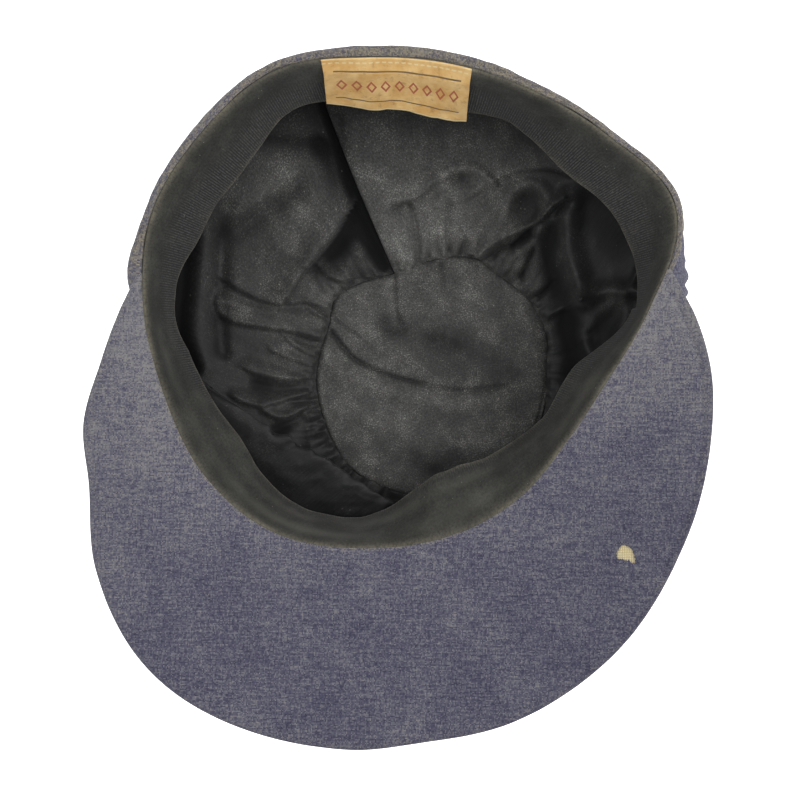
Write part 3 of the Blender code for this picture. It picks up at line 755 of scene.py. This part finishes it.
def yarns(shader, pitch):
    """Plain weave: the brightness of the yarn on top at each place, the relief, and the cells."""
    across, along = shader.split(shader.cloth)
    column = shader.calc("FLOOR", across / pitch)
    row = shader.calc("FLOOR", along / pitch)
    warp = shader.cloud(1.0, 3.0, 0.75, shader.join(column * 3.71, along * 0.28))
    weft = shader.cloud(1.0, 3.0, 0.75, shader.join(across * 0.28, row * 3.37))
    parity = shader.calc("MODULO", abs(column + row), 2.0)
    on_top = warp * parity + weft * (1.0 - parity)
    turn = math.pi / pitch
    relief = abs(shader.calc("SINE", across * turn)) * abs(shader.calc("SINE", along * turn))
    return on_top, relief, shader.join(column, row)


def heather():
    """Matt heathered cloth of blue and grey yarns, faded in places, painted lighter towards the visor's
    ends as painted light, and worn towards tan.
    """
    shader = Shader("heathered_cloth", 0.92, sheen=0.12, sheen_roughness=0.6, specular=0.2)
    on_top, relief, cells = yarns(shader, YARN_PITCH)
    grain = shader.scatter(cells)
    patches = shader.cloud(0.045, 3.0, 0.6)
    mottles = shader.cloud(0.42, 3.0, 0.65)
    slubs_across = shader.cloud(1.0, 3.0, 0.7, shader.scaled(0.10, 1.3))
    slubs_along = shader.cloud(1.0, 3.0, 0.7, shader.scaled(1.3, 0.12))
    uneven = (
        (grain, 0.42), (patches, 0.40), (mottles, 0.26), (slubs_across, 0.78), (slubs_along, 0.44),
    )
    share = on_top * 1.10 - 0.12
    for value, weight in uneven:
        share = share + (value - 0.5) * weight
    # The fade level lightens the yarns; on the visor it is painted light towards its ends.
    yarn = shader.colours(share + shader.level("fade") * 0.22, YARN_TONES)
    worn = shader.level("wear") * (mottles * 1.6 + 0.1) + (grain - 0.5) * 0.36
    colour = shader.mix(shader.ramp(worn, 0.10, 1.0), yarn, shader.mix(grain, *WORN_TONES))
    coarse = shader.cloud(0.9, 2.0, 0.6)
    return shader.finish(colour, relief + coarse * 0.8, 0.00024, 0.85)


def flecks(shader, scale, size, share):
    """Small pale flecks of lint, on a share of the places."""
    inputs = {"Vector": shader.cloth, "Scale": scale}
    distance, place = shader.add("ShaderNodeTexVoronoi", inputs)[:2]
    first, second = shader.split(place)
    near = shader.calc("LESS_THAN", distance, second * size + size * 0.6)
    return near * shader.calc("LESS_THAN", first, share)


def grosgrain():
    """Dark ribbon, felted and dusty along the rim and finely ribbed further in, with painted highlights
    on its rib crests.
    """
    shader = Shader("ribbed_ribbon", 0.82, sheen=0.08, specular=0.2)
    wander = shader.cloud(0.05, 2.0) * 0.8
    across = shader.split(shader.cloth)[0] + wander
    rib = shader.calc("SINE", across * (math.tau / RIB_PITCH)) * 0.5 + 0.5
    felted = shader.level("wear")
    ribbed = 1.0 - felted
    patches = shader.cloud(0.07, 4.0, 0.65)
    fine = shader.cloud(1.0, 4.0, 0.8, shader.scaled(1.2, 0.9))
    # Painted highlight: the ribs' crests are made lighter than their grooves, in patches.
    tips = rib * shader.ramp(fine, 0.34, 0.64) * ribbed
    base = shader.mix(tips, (37, 37, 37), (84, 84, 83))
    fuzz = shader.ramp(patches * 0.6 + fine * 0.6, 0.40, 0.82)
    felt = shader.mix(fuzz, (34, 34, 33), (66, 66, 62))
    colour = shader.mix(felted * 0.85, base, felt)
    dusty = shader.ramp(patches, 0.42, 0.72) * shader.ramp(fine, 0.30, 0.75) * 0.26
    colour = shader.mix(dusty + shader.level("dust") * 0.5, colour, (92, 92, 86))
    pale = shader.level("edge") * shader.ramp(fine, 0.25, 0.6)
    colour = shader.mix(pale, colour, (122, 117, 100))
    colour = shader.mix(flecks(shader, 0.42, 0.055, 0.3) * 0.6, colour, (140, 137, 126))
    return shader.finish(colour, rib * ribbed + fine * 0.4, 0.00020, 0.6)


def satin(name, roughness):
    """Thin charcoal lining with a soft gleam, dusty in patches and flecked with lint, with painted
    shade blackening its creases and painted light in its pale film.
    """
    shader = Shader(name, roughness, sheen=0.05, sheen_roughness=0.45, specular=0.24)
    patches = shader.cloud(0.10, 5.0, 0.70)
    fine = shader.cloud(1.3, 3.0, 0.75)
    grains = shader.cloud(2.1, 2.0, 0.6)
    streaks = shader.cloud(1.0, 3.0, 0.7, shader.scaled(1.8, 0.10))
    dust = shader.level("dust")
    deep = shader.level("deep")
    colour = shader.mix(shader.ramp(streaks, 0.3, 0.7), (12, 12, 13), (25, 25, 26))
    film = shader.ramp(patches * 0.30 + fine * 0.70, 0.34, 0.66) * 0.60 + 0.27
    # The pale film follows the dust level, which on the lining also carries painted light and shade:
    # more film on the folds' ridges and lit walls, less in their hollows.
    colour = shader.mix(film * dust, colour, (102, 102, 100))
    grit = shader.ramp(patches * 0.60 + grains, 0.86, 1.02)
    colour = shader.mix(grit * dust, colour, (142, 142, 136))
    # Painted shade: near black wherever the deep level is high, in the creases, the hollows, the slit
    # by the lining's lap and the tip's sunken seam.
    colour = shader.mix(deep * 0.90, colour, (8, 8, 9))
    specks = flecks(shader, 0.36, 0.06, 0.35) * (dust * 0.6 + 0.15)
    colour = shader.mix(specks, colour, (160, 156, 142))
    rough = dust * 0.24 + (deep * 0.35 + roughness)
    return shader.finish(colour, fine + streaks * 0.2, 0.00014, 0.4, rough)


def woven_label():
    """Golden tan satin with plain woven lines, a row of faded lozenges and pale stitches."""
    shader = Shader("label_satin", 0.5, sheen=0.15)
    across, along = shader.split(shader.cloth)
    patches = shader.cloud(0.11, 4.0, 0.6)
    threads = shader.cloud(1.0, 3.0, 0.7, shader.scaled(0.25, 5.0))
    colour = shader.mix(shader.ramp(patches, 0.3, 0.7), (212, 164, 92), (240, 206, 142))
    colour = shader.mix(threads * 0.40, colour, (168, 122, 66))
    height = LABEL_HEIGHT / MM
    half_width = LABEL_WIDTH / MM / 2
    from_middle = abs(along - height / 2)
    from_centre = across - half_width
    inside = shader.calc("LESS_THAN", abs(from_centre), half_width - LABEL_MARGIN)
    faded = (patches * 0.6 + 0.5) * inside
    line = shader.calc("COMPARE", from_middle, height / 2 - LABEL_LINE_INSET, 0.30)
    cell = abs(shader.calc("WRAP", from_centre, LOZENGE_STEP / 2, -LOZENGE_STEP / 2))
    ring = shader.calc("COMPARE", cell + from_middle * 0.62, 1.55, 0.42)
    colour = shader.mix(ring * faded, colour, (160, 40, 36))
    colour = shader.mix(line * faded, colour, (58, 50, 44))
    stains = shader.ramp(shader.cloud(0.3, 4.0, 0.7), 0.52, 0.72)
    colour = shader.mix(stains * 0.45, colour, (128, 92, 52))
    run = shader.calc("SINE", across * (math.tau / STITCH_STEP)) + (threads * 2.4 - 1.2)
    row = shader.calc("COMPARE", along, patches * 1.6 + 0.7, 0.26) * shader.ramp(run, -0.7, -0.1)
    selvedge = shader.calc("GREATER_THAN", along, height - 0.55)
    top_edge = shader.calc("LESS_THAN", along, 0.45) * 0.3
    pale = shader.calc("MAXIMUM", row, shader.calc("MAXIMUM", selvedge, top_edge))
    colour = shader.mix(pale * 0.65, colour, (226, 214, 166))
    return shader.finish(colour, threads + patches * 1.5, 0.00025, 0.6)


def canvas_weave():
    """Stiff cream canvas, with painted shade in the hollows between its yarns."""
    shader = Shader("cream_canvas", 0.9)
    _, relief, cells = yarns(shader, CANVAS_PITCH)
    # Painted light and shade: the weave's relief sets the colour, pale on the yarns' crowns and darker
    # in the hollows between them.
    colour = shader.mix(relief, (206, 180, 122), (252, 246, 214))
    colour = shader.mix(shader.scatter(cells) * 0.35, colour, (226, 206, 152))
    return shader.finish(colour, relief, 0.0004, 0.9)


YARN_TONES = (
    (0.14, (54, 53, 74)), (0.36, (75, 74, 97)), (0.52, (92, 92, 107)),
    (0.68, (112, 111, 121)), (0.90, (138, 136, 136)),
)
WORN_TONES = ((96, 91, 80), (146, 138, 122))

outer_cloth = heather()
ribbon_cloth = grosgrain()
lining_cloth = satin("lining_satin", 0.56)
tip_cloth = satin("lining_tip_satin", 0.62)
label_cloth = woven_label()
canvas_cloth = canvas_weave()


# The pieces


def brim_grid(first, last, columns, rows):
    """A grid over the visor: bearings, shares of the way out, and the visor's depth."""
    bearing, share = np.meshgrid(np.linspace(first, last, columns), np.linspace(0, 1, rows))
    return bearing, share, at_brim("depth", bearing) * BRIM_DEPTH


def over_edge(share, level_share, depth):
    """How far out and down a visor cloth lies, level at first and then turned down at the edge."""
    level = np.minimum(share / level_share, 1.0)
    turn = np.clip((share - level_share) / (1 - level_share), 0, 1) * math.pi / 2
    return level * (depth - EDGE_RADIUS) + np.sin(turn) * EDGE_RADIUS, (1 - np.cos(turn)) * EDGE_RADIUS


def hole_measure(offset):
    """Under 1 inside the moth hole, a half moon that bulges at the top and sags at the right."""
    x = offset[..., 0] / (MOTH_HOLE_WIDTH / 2)
    y = offset[..., 1] / (MOTH_HOLE_HEIGHT / 2) - 0.72 * (1 - x * x) + 0.36 * x + 0.66
    angle = np.arctan2(y, x)
    ragged = 1 + 0.05 * np.sin(7 * angle + 0.6) + 0.04 * np.sin(13 * angle + 2.0)
    return np.hypot(x, y) / ragged


def visor():
    """The visor's two cloths and the canvas between them, with the moth hole through the lower."""
    bearing, share, depth = brim_grid(BRIM_EDGE[0][0], BRIM_RIGHT_END, 640, 92)
    out, below = over_edge(share, 0.96, depth)
    points = brim_point(bearing, out, below)
    plan = points[..., :2] / MM
    from_edge = (1 - share) * depth
    ripple = waves(plan[..., 0] / 34 + 9, plan[..., 1] / 30 + 7, 3) * 0.55
    ripple += waves(plan[..., 0] / 13 + 5, plan[..., 1] / 12 + 3, 4) * 0.16
    ripple -= 0.5 * hump(from_edge - EDGE_SEAM_INSET, EDGE_SEAM_WIDTH)
    ripple += fading(from_edge, 0.0045) * waves(bearing / 2.1, share * 2, 5) * 0.25
    points[..., 2] += ripple * MM
    wear = 0.55 * fading(out, 0.0009) + 0.22 * fading(depth - out, 0.0030) + 0.06
    # Painted light: the cloth is made lighter towards the visor's two ends, the left one most, where
    # the visor turns up to the light; it is also lighter near the rim.
    to_end = np.minimum(bearing - BRIM_LEFT_END, (BRIM_RIGHT_END - bearing) * 1.25)
    fade = 0.35 * fading(out, 0.030) + 1.05 * (1 - smooth_step(5, 66, to_end)) + 0.08

    centre = [np.array([value]) for value in (MOTH_HOLE_BEARING, MOTH_HOLE_OUT, 0.0)]
    centre = brim_point(*centre)[0, :2]
    from_hole = points[..., :2] - centre
    measure = hole_measure(from_hole)
    keep = quads(measure).mean(axis=-1) > 0.93
    snap = (measure > 0.55) & (measure < 1.35)
    pull = np.where(snap, 1 / np.maximum(measure, 0.2) - 1, 0) * hump(measure - 1, 0.16)
    points[..., :2] += from_hole * pull[..., None]
    points[..., 2] -= 0.00045 * hump(measure - 1, 0.22)
    cloth = plan + unit(bearing)[..., :2] * (below * 1.6 / MM)[..., None]
    looks = {"wear": wear, "fade": fade}
    sheet("visor_under", outer_cloth, "outer_cloth", ["brim_under"], points, cloth, keep=keep, **looks)

    bearing, share, depth = brim_grid(BRIM_EDGE[0][0], BRIM_RIGHT_END, 320, 36)
    out, below = over_edge(share, 0.94, depth)
    to_edge = smooth_step(0.006, 0.0015, depth - out)
    to_end = np.minimum(bearing - BRIM_LEFT_END, BRIM_RIGHT_END - bearing)
    thin = np.maximum(to_edge, 1 - smooth_step(4, 11, to_end)) * (CANVAS + GAP)
    points = brim_point(bearing, out, BRIM_STACK - thin - below)
    wear = fading(depth - out, 0.004) * 0.6
    cloth = points[..., :2] / MM
    sheet("visor_top", outer_cloth, "outer_cloth", ["brim_top"], points, cloth, wear=wear)

    end = math.degrees(CANVAS_END / RIM_RADIUS)
    bearing, share, depth = brim_grid(BRIM_LEFT_END + end, BRIM_RIGHT_END - end, 300, 50)
    points = brim_point(bearing, share * (depth - 0.0075), np.full_like(bearing, CLOTH + GAP))
    from_hole = np.linalg.norm(points[..., :2] - centre, axis=-1)
    points[..., 2] += 0.0010 * hump(from_hole, 0.007)
    sheet("visor_canvas", canvas_cloth, "canvas", ["brim_canvas"], points, points[..., :2] / MM)


def outer_crown():
    """The crown's side, gathered into the tip and the head band, and the round tip below it."""
    bearing, along = ring_grid(960, 84)
    from_band = 1 - along
    wave = 0.5 - 0.5 * np.cos(np.radians(bearing * GATHERS))
    wave = wave * (0.75 + 0.25 * np.cos(np.radians(bearing * GATHERS / 3)))
    fold = GATHER_DEPTH * crown_row("gather", along) * wave
    wander = 1.6 * waves(bearing / 7, along * 2, 11) * np.sin(np.pi * bearing / 360) ** 0.25
    fine = np.abs(np.sin(np.radians((bearing + wander) * 54))) * 0.0009
    fold = fold + fine * (hump(from_band, 0.16) + hump(along, 0.14) * 0.6)
    place, width, out, deep = RUCHE
    ruche = np.exp(-(((bearing - place) / width) ** 4)) * hump(from_band, 0.42)
    crimp = np.sin(np.radians(bearing * 118 + 90 * waves(bearing / 3, along * 3, 12)))
    fold = fold * (1 - 0.6 * ruche) - ruche * (out + deep * crimp)
    points = crown_base(bearing, along) + inward(bearing, along) * fold[..., None]
    points[..., 2] = np.maximum(points[..., 2], GAP / 2)
    cloth = walked_cloth(points, np.arange(points.shape[1] + 1) * 0.60)
    wear = 0.25 * hump(from_band, 0.05) + 0.30 * hump(along, 0.05) + 0.08
    sheet("outer_crown", outer_cloth, "outer_cloth", ["crown_side"], points, cloth, wear=wear)

    bearing, share = ring_grid(180, 43, last=1.04)
    points = unit(bearing) * (share * TIP_DIAMETER / 2)[..., None]
    points = points + up(0.0016 * smooth_step(0.93, 1.0, share))
    cloth = closed_ring(points[..., :2] / MM)
    wear = 0.15 + 0.5 * smooth_step(0.8, 1, share)
    sheet("outer_tip", outer_cloth, "outer_cloth", ["crown_tip"], points, cloth, wear=wear)


def outer_band():
    """The head band, from the crown seam over the worn hem to its turned-in edge."""
    bearing, place = ring_grid(900, 72, last=6)
    points = band_point(bearing, place)
    normals = grid_normals(np.concatenate([points[:, -1:], points, points[:, :1]], axis=1))[:, 1:-1]
    length = bearing * MM_PER_DEGREE
    bumps = waves(length / 9, place * 1.3, 21) * 0.30 + waves(length / 3.1, place * 2.6, 22) * 0.12
    seam = -0.5 * hump(place - 0.12, 0.10)
    points = points - normals * ((bumps + seam) * MM)[..., None]
    spread = 0.0024 * hump(bearing - 173, 7) * (1 - smooth_step(4.0, 5.0, place))
    points = points + unit(bearing) * spread[..., None]
    cloth = walked_cloth(points, np.arange(points.shape[1] + 1) * 0.62)
    turned_in = smooth_step(4.4, 5.0, place)
    wear = hump(place - 4.2, 3.0) * (0.725 + 0.225 * np.cos(np.radians(bearing - 60)))
    wear = (wear + 0.2 * turned_in) * (0.75 + 0.25 * waves(length / 12, place, 23)) + 0.08
    fade = 0.60 + 0.15 * waves(length / 15, place, 24) + 0.3 * turned_in
    looks = {"wear": np.clip(wear, 0, 1), "fade": fade}
    sheet("outer_band", outer_cloth, "band_cloth", ["head_band"], points, cloth, **looks)


def ribbon_surface(bearing, share):
    """The sweatband's face with its soft waves, largest at the free edge."""
    length = bearing * MM_PER_DEGREE
    wave = waves(length / 17, share * 0.8, 31) * 1.1 + waves(length / 7, share * 1.2, 32) * 0.35
    hem = 2 * CLOTH + HEM_CORE * at_rim("roll", bearing)
    turned_out = 0.20 * hem * fading(share, 0.03)
    out = turned_out - wave * share**1.3 * MM
    return ribbon_point(bearing, share) + unit(bearing) * out[..., None]


def sweatband():
    """The ribbed ribbon inside the rim."""
    bearing, share = ring_grid(960, 40)
    points = ribbon_surface(bearing, share)
    middle = points[len(points) // 2]
    lengths = walked(np.linalg.norm(np.roll(middle, -1, axis=0) - middle, axis=1))
    cloth = np.stack(np.broadcast_arrays(lengths, share[:, :1] * RIBBON_WIDTH / MM), -1)
    front = smooth_step(-0.3, 0.8, -np.sin(np.radians(bearing + 6)))
    border = 0.42 + 0.10 * waves(bearing / 14, share * 0, 33) + 0.5 * front
    wear = 1 - smooth_step(border - 0.22, border + 0.22, share) * 0.95
    edge = 0.85 * fading(1 - share, 0.022) * (0.6 + 0.4 * waves(bearing / 3, share * 0, 34))
    edge = edge + 0.72 * fading(share, 0.045) * (0.7 + 0.3 * waves(bearing / 5, share * 0, 35))
    dust = (0.5 + 0.5 * waves(bearing / 12, share * 3.2, 36)) * front
    dust = dust * (hump(share - 0.30, 0.13) + 0.6 * hump(share - 0.72, 0.10))
    dust = dust + 0.16 * fading(share, 0.12)
    looks = {"wear": wear, "edge": edge, "dust": dust}
    piece = sheet("ribbon", ribbon_cloth, "ribbon", ["sweatband"], points, cloth, **looks)
    thicken(piece, 0.0006, 1)


def lining_base(bearing, along):
    """The lining's face before its folds, clear of the crown, and its distance from the crown."""
    inset = CLOTH + GAP + GATHER_DEPTH * crown_row("gather", along)
    inset = inset + LINING_SLACK * through(LINING_SECTION["along"], LINING_SECTION["inset"], along)
    upright = smooth_step(0.0, 0.3, along)[..., None]
    way = np.array([0.0, 0.0, 1.0]) * (1 - upright) + inward(bearing, along) * upright
    point = crown_base(bearing, along) + way * inset[..., None]
    shift = (lining_seam(bearing) - (TIP_DIAMETER / 2 + 2 * GAP)) * fading(along, 0.16)
    point = point + unit(bearing) * shift[..., None]
    away = unit(np.array(OVERHANG_BEARING))
    past = point @ away - (TIP_DIAMETER / 2 + OVERHANG_CLEAR)
    weight = through(LINING_SECTION["along"], LINING_SECTION["overhang"], along)
    weight = np.where(past > 0, weight, 0.0)
    rise = OVERHANG_RISE * smooth_step(0.0, 0.02, past)
    return point - away * (past * weight)[..., None] + up(rise * weight), inset


def lining_seam(bearing):
    """How far the lining's tip seam lies from its centre."""
    return round_ring(SEAM_BEARINGS, SEAM_REACH, bearing) * (TIP_DIAMETER / 2 - 2 * GAP)


def dust_and_light_level(plan, places):
    """How much pale film lies on the lining at places in plan: dust, and painted light and shade where
    the table holds it.
    """
    total = np.full(plan.shape[:-1], 0.03)
    for x, y, radius, amount in places:
        total += amount * hump(np.hypot(plan[..., 0] - x, plan[..., 1] - y), radius)
    return total


def pleats(bearing, from_seam):
    """Gathers at the tip seam: many narrow ones at it, fewer and wider ones further out."""
    turn = bearing + 2.4 * waves(bearing / 11, bearing * 0 + 0.5, 41) + 0.05 * from_seam
    size = 0.95 + 0.45 * waves(bearing / 6, from_seam / 14, 42)
    crowd = 0.30 + 0.70 * smooth_step(-0.45, 0.15, np.cos(np.radians(bearing - 140)))
    narrow = (np.abs(np.sin(np.radians(turn * 33))) - 0.5) * fading(from_seam, 5.5)
    wide = (np.abs(np.sin(np.radians(turn * 14 + 20))) - 0.5) * fading(from_seam, 13)
    return crowd * (2.8 * narrow + 4.0 * wide * smooth_step(0, 5, from_seam)) * size


def lining():
    """The gathered lining: one panel's end lies over the other's, with a slit between them darkened by
    painted shade.
    """
    share = np.linspace(0, 1, 128)[:, None] ** 1.25
    end = LAP_EDGE[0] + (LAP_EDGE[1] - LAP_EDGE[0]) * share + LAP_BOW * np.sin(math.pi * share)
    first = end - LAP_UNDER
    bearing = first + (end + 360 - first) * np.linspace(0, 1, 620)
    along = 0.94 * share + np.zeros_like(bearing)
    base, inset = lining_base(bearing, along)
    normals = grid_normals(base)
    from_seam = np.maximum(np.linalg.norm(base[..., :2], axis=-1) - lining_seam(bearing), 0) / MM
    plan = in_plan(base)
    fade = 1 - smooth_step(0.70, 0.90, along)
    fold = fold_height(plan, FOLDS) * fade * smooth_step(0.0, 3.0, from_seam)
    fold = fold + pleats(bearing, from_seam) * fade * smooth_step(0.0, 1.2, from_seam)
    calm = 0.35 + 0.65 * fading(from_seam, 20)
    for size, height, seed in ((9, 0.45, 43), (4, 0.16, 44)):
        fold = fold + calm * plan_waves(plan, size, 20, seed) * height
    near = (0.10 + fading(from_seam, 14)) * fade
    for size, height, seed in ((7.5, 1.5, 46), (3.4, 0.45, 47)):
        fold = fold + near * (0.36 - np.abs(plan_waves(plan, size, 30, seed))) * height
    lap_over = smooth_step(end + 360 - 22, end + 360 - 2, bearing)
    lap_under = 1 - smooth_step(first + 8, first + 18, bearing)
    fold = fold + 2.4 * lap_over - 2.4 * lap_under
    # Painted shade: the deep level blackens the satin in the folds' hollows, in the slit beside the
    # upper panel's end and, more softly, in a band next to it.
    deep = 0.92 * smooth_step(0.5, 4.2, -fold * smooth_step(0.0, 0.2, fade))
    beside = bearing - end
    width = 0.8 + 1.5 * hump(along - 0.40, 0.20)
    deep = np.maximum(deep, 1 - smooth_step(width, width + 1.3, beside))
    deep = np.maximum(deep, 0.36 * (1 - smooth_step(2.6, 5.5, beside)))
    lowest = -(inset / MM - 2.2)
    soft = 1.2
    fold = lowest + soft * np.logaddexp(0, (fold - lowest) / soft)
    # Painted light and shade: besides the dust, the pale film is raised on the folds' ridges and
    # lowered in their hollows.
    dust = dust_and_light_level(plan, DUST_AND_PAINTED_LIGHT) * (1 + 0.20 * np.clip(fold, -3, 3)) + 0.012 * np.clip(fold, 0, 5)
    dust = dust + 0.30 * fading(from_seam, 1.6) * (0.6 + 0.6 * waves(bearing / 2, along * 4, 45))
    points = base + normals * (fold * MM)[..., None]
    points[..., 2] -= 1.3 * fading(from_seam, 1.0) * MM

    # The upper panel's end curls back under itself
    edge, facing = points[:, -1], normals[:, -1]
    away = unit_length(edge - points[:, -3])
    curl = []
    for turn in np.radians((30, 60, 90, 120, 150, 180)):
        curl.append(edge + (away * math.sin(turn) - facing * (1 - math.cos(turn))) * CURL_RADIUS)
    for back in (0.002, 0.004):
        curl.append(edge - away * back - facing * 2 * CURL_RADIUS)
    points = np.concatenate([points, np.stack(curl, 1)], axis=1)
    bearing = np.pad(bearing, ((0, 0), (0, len(curl))), mode="edge")

    # Its lower edge goes down behind the tip, and its upper edge up behind the band
    hidden = points[:1] - unit(bearing[:1]) * 0.0018 - up(0.0012)
    rows = [hidden, points]
    for step in (0.0, 0.5, 1.0):
        place = np.full_like(bearing[-1], 2 * LINING_TUCK * step / BAND_DEPTH)
        rows.append((band_point(bearing[-1], place) - unit(bearing[-1]) * (CLOTH + 3 * GAP))[None])
    points = np.concatenate(rows, axis=0)
    cloth = walked_cloth(points, np.arange(1, points.shape[1] + 1) * 0.78)
    looks = {}
    for name, values in (("dust", np.clip(dust, 0, 1)), ("deep", deep)):
        values = np.pad(values, ((1, 0), (0, len(curl))), mode="edge")
        looks[name] = np.pad(values, ((0, 3), (0, 0)))
    sheet("lining", lining_cloth, "lining", ["lining_side"], points, cloth, **looks)


def lining_tip():
    """The lining's round tip, with its creases and its sunken seam."""
    bearing, share = ring_grid(360, 151)
    share = share**0.9
    points = unit(bearing) * (share * lining_seam(bearing))[..., None]
    from_seam = (1 - share) * lining_seam(bearing) / MM
    plan = points[..., :2] / MM
    relief = fold_height(plan, TIP_FOLDS) * smooth_step(0, 2.0, from_seam)
    puckers = np.abs(np.sin(np.radians((bearing + 2 * waves(bearing / 9, bearing * 0, 51)) * 32)))
    relief += (puckers - 0.4) * 0.5 * fading(from_seam, 3.0)
    for size, height, seed in ((11, 0.45, 52), (4, 0.12, 53)):
        relief += plan_waves(plan, size, 9, seed) * height
    relief += (0.3 - np.abs(plan_waves(plan, 8, 9, 55))) * 0.5
    relief -= 1.6 * fading(from_seam, 0.8)
    points = points + up((TIP_LEVEL + relief) * MM)
    relief = np.clip(relief, -1.5, 1.5)
    # Painted light and shade: the pale film is raised on the creases' ridges, lowered in their hollows,
    # and follows the tip's painted light and shade table.
    dust = 0.54 + 0.14 * plan_waves(plan, 9, 3, 54) + 0.14 * relief + dust_and_light_level(plan, TIP_PAINTED_LIGHT_AND_SHADE)
    dust = np.clip(dust + 0.25 * fading(from_seam, 1.5), 0, 1)
    # Painted shade: the deep level blackens the satin in the creases' hollows and along the sunken
    # seam.
    deep = np.clip(0.9 * smooth_step(0.6, 2.4, -relief) + 0.75 * fading(from_seam, 0.35), 0, 1)
    looks = {"dust": dust, "deep": deep}
    sheet("lining_crown", tip_cloth, "lining", ["lining_tip"], points, closed_ring(plan), **looks)


def label():
    """The small woven label at the back, sewn along the rim and standing free below."""
    across, share = np.meshgrid(np.linspace(-0.5, 0.5, 150) * LABEL_WIDTH, np.linspace(0, 1, 70))
    seam = RIM_RADIUS * at_rim("reach", np.array(LABEL_BEARING))
    run = RIBBON_WIDTH * at_rim("ribbon_in", np.array(LABEL_BEARING))
    bearing = LABEL_BEARING - np.degrees(across / (seam - run * share * 0.75))
    away = (RIBBON + 2 * GAP) * smooth_step(0.0, 0.25, share) + LABEL_LIFT * share**2
    away = away + 0.0006 * fading(share, 0.03)
    across = (across + LABEL_WIDTH / 2) / MM
    wave = waves(across / 9, share * 1.6, 61) * 0.8 + waves(across / 3, share * 4, 62) * 0.16
    away = away + np.abs(wave) * MM * smooth_step(0.0, 0.6, share)
    hang = through(*LABEL_HANG, across / across.max())
    base = ribbon_surface(bearing, share * hang * LABEL_HEIGHT / RIBBON_WIDTH)
    points = base - unit(bearing) * away[..., None] + up(0.0008 * fading(share, 0.1))
    cloth = np.stack([across, share * LABEL_HEIGHT / MM], -1)
    thicken(sheet("label", label_cloth, "label", ["label"], points, cloth), 0.0005, 0)


visor()
outer_crown()
outer_band()
sweatband()
lining()
lining_tip()
label()


# The floor, the light and the view


def floor():
    """A white sweep, bright enough to hold no shadow."""
    bpy.ops.mesh.primitive_plane_add(size=4, location=(0, 0, 0))
    plane = bpy.context.object
    plane.name = "floor"
    material = bpy.data.materials.new("white_floor")
    material.use_nodes = True
    shader = material.node_tree.nodes["Principled BSDF"]
    shader.inputs["Base Color"].default_value = (0.9, 0.9, 0.9, 1)
    shader.inputs["Emission Color"].default_value = (1, 1, 1, 1)
    shader.inputs["Emission Strength"].default_value = 1.0
    plane.data.materials.append(material)


def soft_light(name, place, target, size, power):
    """A large soft box aimed at the cap."""
    data = bpy.data.lights.new(name, "AREA")
    data.shape = "SQUARE"
    data.size = size
    data.energy = power
    light = bpy.data.objects.new(name, data)
    bpy.context.scene.collection.objects.link(light)
    light.location = place
    way = np.array(target) - np.array(place)
    flat = math.hypot(way[0], way[1])
    light.rotation_euler = (math.atan2(flat, -way[2]), 0, math.atan2(way[1], way[0]) - math.pi / 2)


floor()
soft_light("light_right", (1.1, 0.25, 1.3), (0, 0, 0.04), 0.9, 16)
soft_light("light_left", (-1.1, 0.1, 1.3), (0, 0, 0.04), 0.9, 9)
soft_light("light_above", (0.1, -0.1, 1.9), (0, 0, 0.04), 0.8, 9)

world = bpy.data.worlds.new("white_room")
world.use_nodes = True
world.node_tree.nodes["Background"].inputs["Color"].default_value = (1, 1, 1, 1)
world.node_tree.nodes["Background"].inputs["Strength"].default_value = 0.35
bpy.context.scene.world = world
bpy.context.scene.view_settings.view_transform = "Standard"

view = bpy.data.cameras.new("view")
view.lens = LENS
view.sensor_width = SENSOR
camera = bpy.data.objects.new("view", view)
camera.location = EYE
bpy.context.scene.collection.objects.link(camera)
bpy.context.scene.camera = camera
